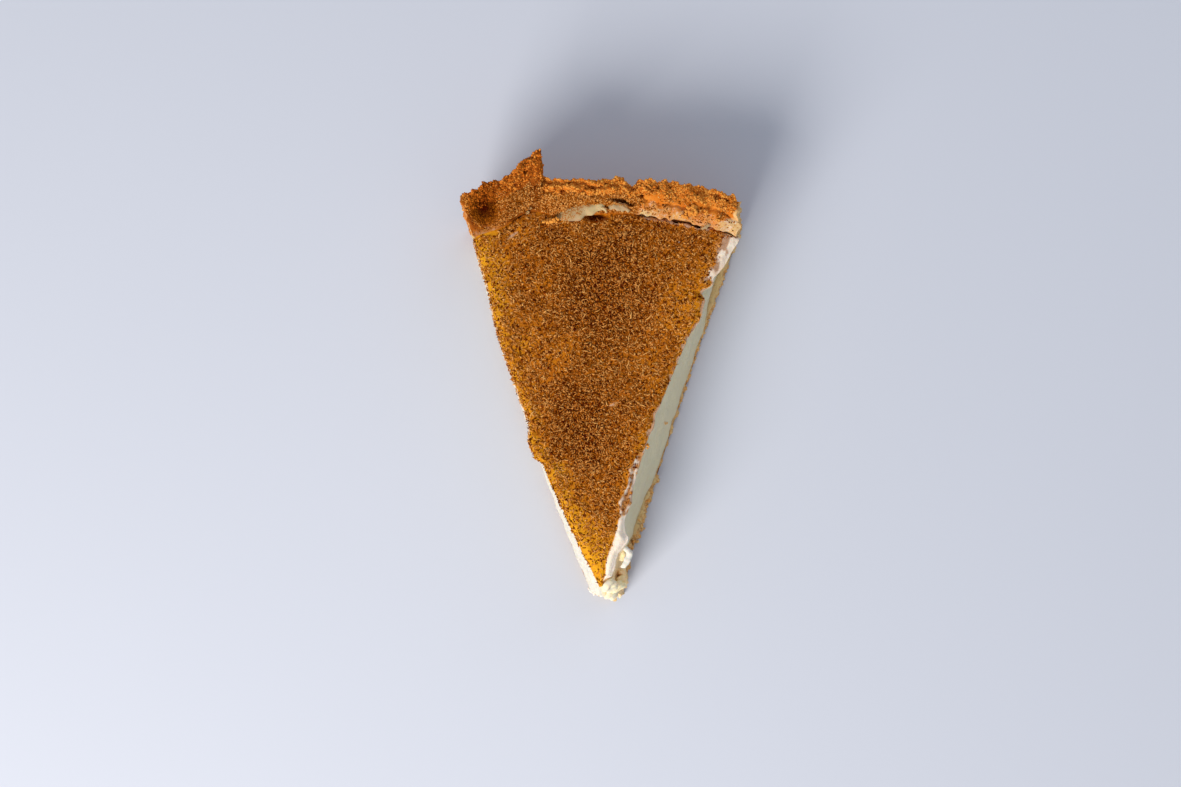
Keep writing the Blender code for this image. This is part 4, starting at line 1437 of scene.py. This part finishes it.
# Kinds of ground spice on the filling: the finish, the shape, half of each size, the power that
# spice_cover is raised to and the least chance of a grain where there is spice, how many grains hang
# over the left edge, how far along and how far in, how much a grain darkens under others, the seed.
SPICES = {
    "powder": ("powder", chip_shape, (0.21, 0.15, 0.11), (2.2, 0.12), None, 1.0, 52),
    "chips": ("chips", chip_shape, (0.46, 0.16, 0.12), (1.2, 0.34), (700, 103.0, 0.3), 1.0, 53),
    "shavings": ("shavings", chip_shape, (0.52, 0.15, 0.11), (1.0, 0.34), None, 1.0, 54),
    "slivers": ("shavings", sliver_shape, (0.95, 0.14, 0.11), (0.7, 0.1), None, 0.0, 56),
    "specks": ("specks", chip_shape, (0.36, 0.28, 0.15), (0.3, 0.0), (150, 52.0, 0.9), 1.0, 57),
}
RIM_CHIP = (0.38, 0.15, 0.12)
RIM_CHIP_SEED = 55
PLACES_SEED = 51
SQUARE_CM = 100.0


def on_filling(size, per_cm2, draw, power, least):
    """Seeded places on the filling's top, more of them where the spice lies thicker, and how thick.

    They are drawn evenly over the top. Each is kept with the chance thickness^power, and at least
    with the share that is given, which fades out where there is hardly any spice.
    """
    far = size.inner_rim + 2.0
    number = int(per_cm2 * WIDEST * (far - TIP_TOP) / SQUARE_CM)
    y = draw.uniform(TIP_TOP, far, number)
    u = draw.uniform(0.0, 1.0, number)
    left, right = left_cut(y, 1.0), right_cut(y, 1.0)
    x = mix(left, right, u)
    thick = spice_cover(size, x, y, u)
    inside = np.hypot(x, y) < inner_radius(size, x, size.filling_top) - SEAM_GAP
    share = np.maximum(thick**power, ramp(thick, 0.0, 0.25, least)) * (right - left) / WIDEST
    kept = np.flatnonzero((draw.uniform(0.0, 1.0, number) < share) & inside)
    x, y, u, thick = x[kept], y[kept], u[kept], thick[kept]
    pile = 0.35 * draw.uniform(0.0, 1.0, len(x)) * thick
    return np.stack((x, y, size.filling_top + filling_relief(size, x, y, u) + pile), 1), thick


def on_edge(size, draw, number, far, inside):
    """Seeded places along the filling's left edge and a little way in, where grains hang over it."""
    y = mix(8.0, far, draw.uniform(0.0, 1.0, number) ** 0.65)
    x = left_cut(y, 1.0) + draw.uniform(-0.2, inside, number)
    fall = draw.uniform(0.0, 1.2, number) ** 2
    return np.stack((x, y, size.filling_top + filling_relief(size, x, y, np.zeros(number)) - fall), 1)


def on_rim(size, number, draw):
    """Seeded places on the rim's top, where spice lies, and how much the chips there darken."""
    tries = 5 * number
    u = draw.uniform(0.004, 0.996, tries)
    inward = draw.uniform(0.02, 0.97, tries)
    wanted = rim_spice(mix(*RIM_ENDS, u), inward) + 0.02
    kept = np.flatnonzero(draw.uniform(0.0, 1.0, tries) < wanted)[:number]
    u, inward = u[kept], inward[kept]
    x = mix(*RIM_ENDS, u)
    points = rim_points(size, u, inward, np.ones(len(kept)))
    dark = 2.2 * dent(x, inward, *LEFT_CHIPS) ** 0.6 + 0.4 * rim_parts(x)[0]
    return np.stack(points, 1), dark


def build_grains(name, shape, places, thick, halves, finish, node, seed):
    """One kind of spice grain, copied on to given places, darker where it lies thicker."""
    draw = np.random.default_rng(seed)
    points, faces = shape
    number = len(places)
    scales = np.array(halves) * draw.uniform(0.6, 1.4, (number, 3)) * draw.uniform(0.6, 1.4, (number, 1))
    lifted = places + np.array((0.0, 0.0, 0.35 * halves[2]))
    spots, corners = copies(points, faces, lifted, scales, draw, 0.45)
    tone = draw.uniform(0.0, 1.0, number) * np.clip(1.15 - 0.45 * thick, 0.0, 1.0)
    new_piece(name, spots, corners, node, finish, {"tone": np.repeat(tone, len(points))})


def build_spice(size, tint):
    """All kinds of ground spice, on the filling and then on the rim."""
    finishes = spice_finishes(tint)
    draw = np.random.default_rng(PLACES_SEED)
    for name, (finish, shape, halves, chance, hanging, darkens, seed) in SPICES.items():
        places, thick = on_filling(size, getattr(size, name), draw, *chance)
        if hanging:
            places = np.concatenate((places, on_edge(size, draw, *hanging)))
            thick = np.append(thick, np.zeros(hanging[0]))
        build_grains(name, shape(), places, darkens * thick, halves, finishes[finish], "custard", seed)
    places, dark = on_rim(size, size.rim_chips, draw)
    chips = finishes["chips"]
    build_grains("rim_chips", chip_shape(), places, dark, RIM_CHIP, chips, "crust", RIM_CHIP_SEED)


# ---------------------------------------------------------------- crumbs and scraps

# Shares of the crumbs on the rim's top and on its wall, and the seeds of the crumbs and the clumps.
TOP_CRUMBS = 0.6
WALL_CRUMBS = 0.2
CRUMB_SEED = 33
CLUMP_SEED = 34
CRUMB_HALF = 0.17


def rim_crumb_tone(own, across, x, dark):
    """The bake of crumbs on the rim from a number of their own: paler at the cuts, dark on the left."""
    by_flap = mix(0.45, 0.95, ramp(across, 0.03, -0.03)) * own * (1.0 - 0.75 * dark)
    elsewhere = np.where(across > 0.99, 0.84 + 0.16 * own, 0.18 + 0.56 * own)
    return np.where(x < FLAP_EDGE, by_flap, elsewhere)


def crumb_places(size, number, draw):
    """Seeded places for crumbs, and their bake from browned at 0 to pale at 1.

    They lie on the rim, on its outer face, at its cut ends and at the base's edges.
    """
    on_top, on_wall = int(TOP_CRUMBS * number), int(WALL_CRUMBS * number)
    on_base = number - on_top - on_wall
    across = draw.uniform(0.008, 0.99, on_top)
    inward = 0.45 * draw.uniform(0.0, 1.0, on_top) ** 1.4
    top = rim_points(size, across, inward, np.ones(on_top))
    u = draw.uniform(0.01, 0.985, on_wall)
    cut = draw.uniform(0.0, 1.0, on_wall) < 0.4
    u = np.where(cut, np.where(u < 0.5, 0.001, 0.999), u)
    depth = np.where(cut, draw.uniform(0.02, 0.9, on_wall), 0.0)
    wall = rim_points(size, u, depth, draw.uniform(0.03, 0.97, on_wall))
    side = draw.uniform(0.0, 1.0, on_base) < 0.85
    v = 0.04 + 0.89 * draw.uniform(0.0, 1.0, on_base) ** 1.2
    edge = base_points(size, mix(0.001, 0.999, side), v, draw.uniform(0.15, 0.95, on_base))
    own, base_own = np.split(draw.uniform(0.0, 1.0, number), [on_top + on_wall])
    dark = np.append(dent(top[0], inward, *LEFT_CRUMBS) ** 0.6, np.zeros(on_wall))
    tone = rim_crumb_tone(own, np.append(across, u), np.append(top[0], wall[0]), dark)
    places = np.concatenate([np.stack(group, 1) for group in (top, wall, edge)])
    return places, np.append(tone, 0.84 + 0.16 * base_own)


def build_lumps(name, places, halves, tone, draw, wobble, lift, finish):
    """Uneven balls turned every way at given places, none of them under the table."""
    places[:, 2] = np.maximum(places[:, 2], lift * halves.max(axis=1))
    points, faces = lump_shape()
    spots, corners = copies(points, faces, places, halves, draw, np.pi, wobble)
    new_piece(name, spots, corners, "crust", finish, {"tone": np.repeat(tone, len(points))})


def build_crumbs(size, finish):
    """Small crumbs of pastry all over the crust, larger ones at the base's edges."""
    draw = np.random.default_rng(CRUMB_SEED)
    places, tone = crumb_places(size, size.crumbs, draw)
    number = len(places)
    half = CRUMB_HALF * (1.0 + 1.5 * draw.uniform(0.0, 1.0, number) ** 3)
    half[int(0.8 * number):] *= 1.5
    halves = half[:, None] * draw.uniform(0.75, 1.3, (number, 3))
    build_lumps("crumbs", places, halves, tone, draw, 0.24, 1.35, finish)


def build_clumps(finish):
    """Clumps of crumbs: each is a number of lumps about its middle, spread through an oval."""
    draw = np.random.default_rng(CLUMP_SEED)
    places, halves, tones = [], [], []
    for middle, reach, number, tone in CLUMPS:
        way = draw.normal(size=(number, 3))
        way /= np.linalg.norm(way, axis=1)[:, None]
        way *= draw.uniform(0.2, 0.8, (number, 1)) ** 0.5
        places.append(np.array(middle) + way * np.array(reach))
        halves.append(draw.uniform(0.26, 0.52, (number, 3)) * min(np.mean(reach), 1.8))
        tones.append(tone + draw.uniform(-0.12, 0.12, number))
    places, halves, tones = (np.concatenate(group) for group in (places, halves, tones))
    build_lumps("clumps", places, halves, np.clip(tones, 0.0, 1.0), draw, 0.2, 1.2, finish)


def build_scraps(tint):
    """Torn strips of filling along the seam, and the curl and the crumbled lobes at the tip."""
    parts = [strip(*scrap[:-1], 60 + n) for n, scrap in enumerate(SCRAPS)]
    points, faces, aside, owner = joined(parts)
    x, y, z = points.T
    by_seam = (y > 60.0) * 1.0
    dusted = 1.2 * (y - 109.5) - x - 8.0 + rough(x, y, z, 2.0, 59, 1.3)
    layers = {
        # By the seam the strips darken towards their left ends: partly browned skin, partly painted shade.
        "tone": np.array([scrap[-1] for scrap in SCRAPS])[owner] + ramp(x, -4.0, -8.0, 0.4) * by_seam,
        "pale": 1.0 - by_seam,
        "dust": np.maximum(ramp(aside, 0.35, -0.8), ramp(dusted, 0.0, 3.0)) * by_seam,
    }
    new_piece("scraps", points, faces, "custard", scrap_finish(tint), layers)


# ---------------------------------------------------------------- stage


def build_floor(tint):
    """A plain floor that runs well past the view."""
    bpy.ops.mesh.primitive_plane_add(size=FLOOR_SIZE * MM, location=(0.0, 0.0, 0.0))
    floor = bpy.context.object
    floor.name = "floor"
    floor.data.materials.append(floor_finish(tint))


def area_light(name, place, size, power, tone):
    """A square soft box at a place, aimed at the slice."""
    data = bpy.data.lights.new(name, "AREA")
    data.energy = power
    data.size = size * MM
    data.color = tone
    light = bpy.data.objects.new(name, data)
    light.location = np.array(place) * MM
    across, along, down = np.array(LIGHT_AIM) - np.array(place)
    lean = math.atan2(math.hypot(across, along), -down)
    light.rotation_euler = (lean, 0.0, math.atan2(along, across) - math.pi / 2)
    bpy.context.scene.collection.objects.link(light)


def build_lights(scene):
    """The area lights and an even sky."""
    for light in LIGHTS:
        area_light(*light)
    world = bpy.data.worlds.new("sky")
    world.use_nodes = True
    sky = world.node_tree.nodes["Background"]
    sky.inputs["Color"].default_value = SKY
    sky.inputs["Strength"].default_value = SKY_STRENGTH
    scene.world = world
    scene.view_settings.view_transform = "Standard"


def build_camera(scene):
    """The camera, straight above, as the photograph was taken."""
    data = bpy.data.cameras.new("camera")
    data.lens = CAMERA_LENS
    data.sensor_width = CAMERA_SENSOR
    camera = bpy.data.objects.new("camera", data)
    camera.location = np.array(CAMERA_PLACE) * MM
    scene.collection.objects.link(camera)
    scene.camera = camera


# ---------------------------------------------------------------- operators


class TART_OT_filling(bpy.types.Operator):
    """Build the set custard filling"""

    bl_idname = "tart.filling"
    bl_label = "Filling"

    def execute(self, context):
        build_filling(*sizes_and_colours(context))
        return {"FINISHED"}


class TART_OT_crust(bpy.types.Operator):
    """Build the pastry case: its rim and its base"""

    bl_idname = "tart.crust"
    bl_label = "Crust"

    def execute(self, context):
        size, tint = sizes_and_colours(context)
        finish = crust_finish(tint)
        build_rim(size, finish)
        build_base(size, finish)
        return {"FINISHED"}


class TART_OT_crumbs(bpy.types.Operator):
    """Scatter crumbs and clumps of pastry over the crust"""

    bl_idname = "tart.crumbs"
    bl_label = "Crumbs"

    def execute(self, context):
        size, tint = sizes_and_colours(context)
        finish = crumb_finish(tint)
        build_crumbs(size, finish)
        build_clumps(finish)
        return {"FINISHED"}


class TART_OT_scraps(bpy.types.Operator):
    """Lay torn strips of filling along the seam and at the tip"""

    bl_idname = "tart.scraps"
    bl_label = "Torn filling"

    def execute(self, context):
        build_scraps(context.scene.tart_colours)
        return {"FINISHED"}


class TART_OT_spice(bpy.types.Operator):
    """Scatter ground cinnamon over the filling and the rim"""

    bl_idname = "tart.spice"
    bl_label = "Spice"

    def execute(self, context):
        build_spice(*sizes_and_colours(context))
        return {"FINISHED"}


class TART_OT_stage(bpy.types.Operator):
    """Build the floor, the lights and the camera"""

    bl_idname = "tart.stage"
    bl_label = "Stage"

    def execute(self, context):
        build_floor(context.scene.tart_colours)
        build_lights(context.scene)
        build_camera(context.scene)
        return {"FINISHED"}


class TART_PT_panel(bpy.types.Panel):
    """The tart's buttons, sizes and colours"""

    bl_idname = "TART_PT_panel"
    bl_label = "Milk Tart Slice"
    bl_space_type = "VIEW_3D"
    bl_region_type = "UI"
    bl_category = "Tart"

    def draw(self, context):
        for operator in OPERATORS:
            self.layout.operator(operator.bl_idname)
        for group in (context.scene.tart_sizes, context.scene.tart_colours):
            box = self.layout.box()
            for key in group.__annotations__:
                box.prop(group, key)


OPERATORS = (
    TART_OT_filling,
    TART_OT_crust,
    TART_OT_crumbs,
    TART_OT_scraps,
    TART_OT_spice,
    TART_OT_stage,
)
CLASSES = (TartSizes, TartColours, *OPERATORS, TART_PT_panel)


def register():
    """Registers the classes and hangs the sizes and colours on the scene."""
    for cls in CLASSES:
        bpy.utils.register_class(cls)
    bpy.types.Scene.tart_sizes = bpy.props.PointerProperty(type=TartSizes)
    bpy.types.Scene.tart_colours = bpy.props.PointerProperty(type=TartColours)


def unregister():
    """Takes back all that register has set up."""
    del bpy.types.Scene.tart_colours
    del bpy.types.Scene.tart_sizes
    for cls in reversed(CLASSES):
        bpy.utils.unregister_class(cls)


def main():
    register()
    bpy.ops.tart.filling()
    bpy.ops.tart.crust()
    bpy.ops.tart.crumbs()
    bpy.ops.tart.scraps()
    bpy.ops.tart.spice()
    bpy.ops.tart.stage()


if __name__ == "__main__":
    main()
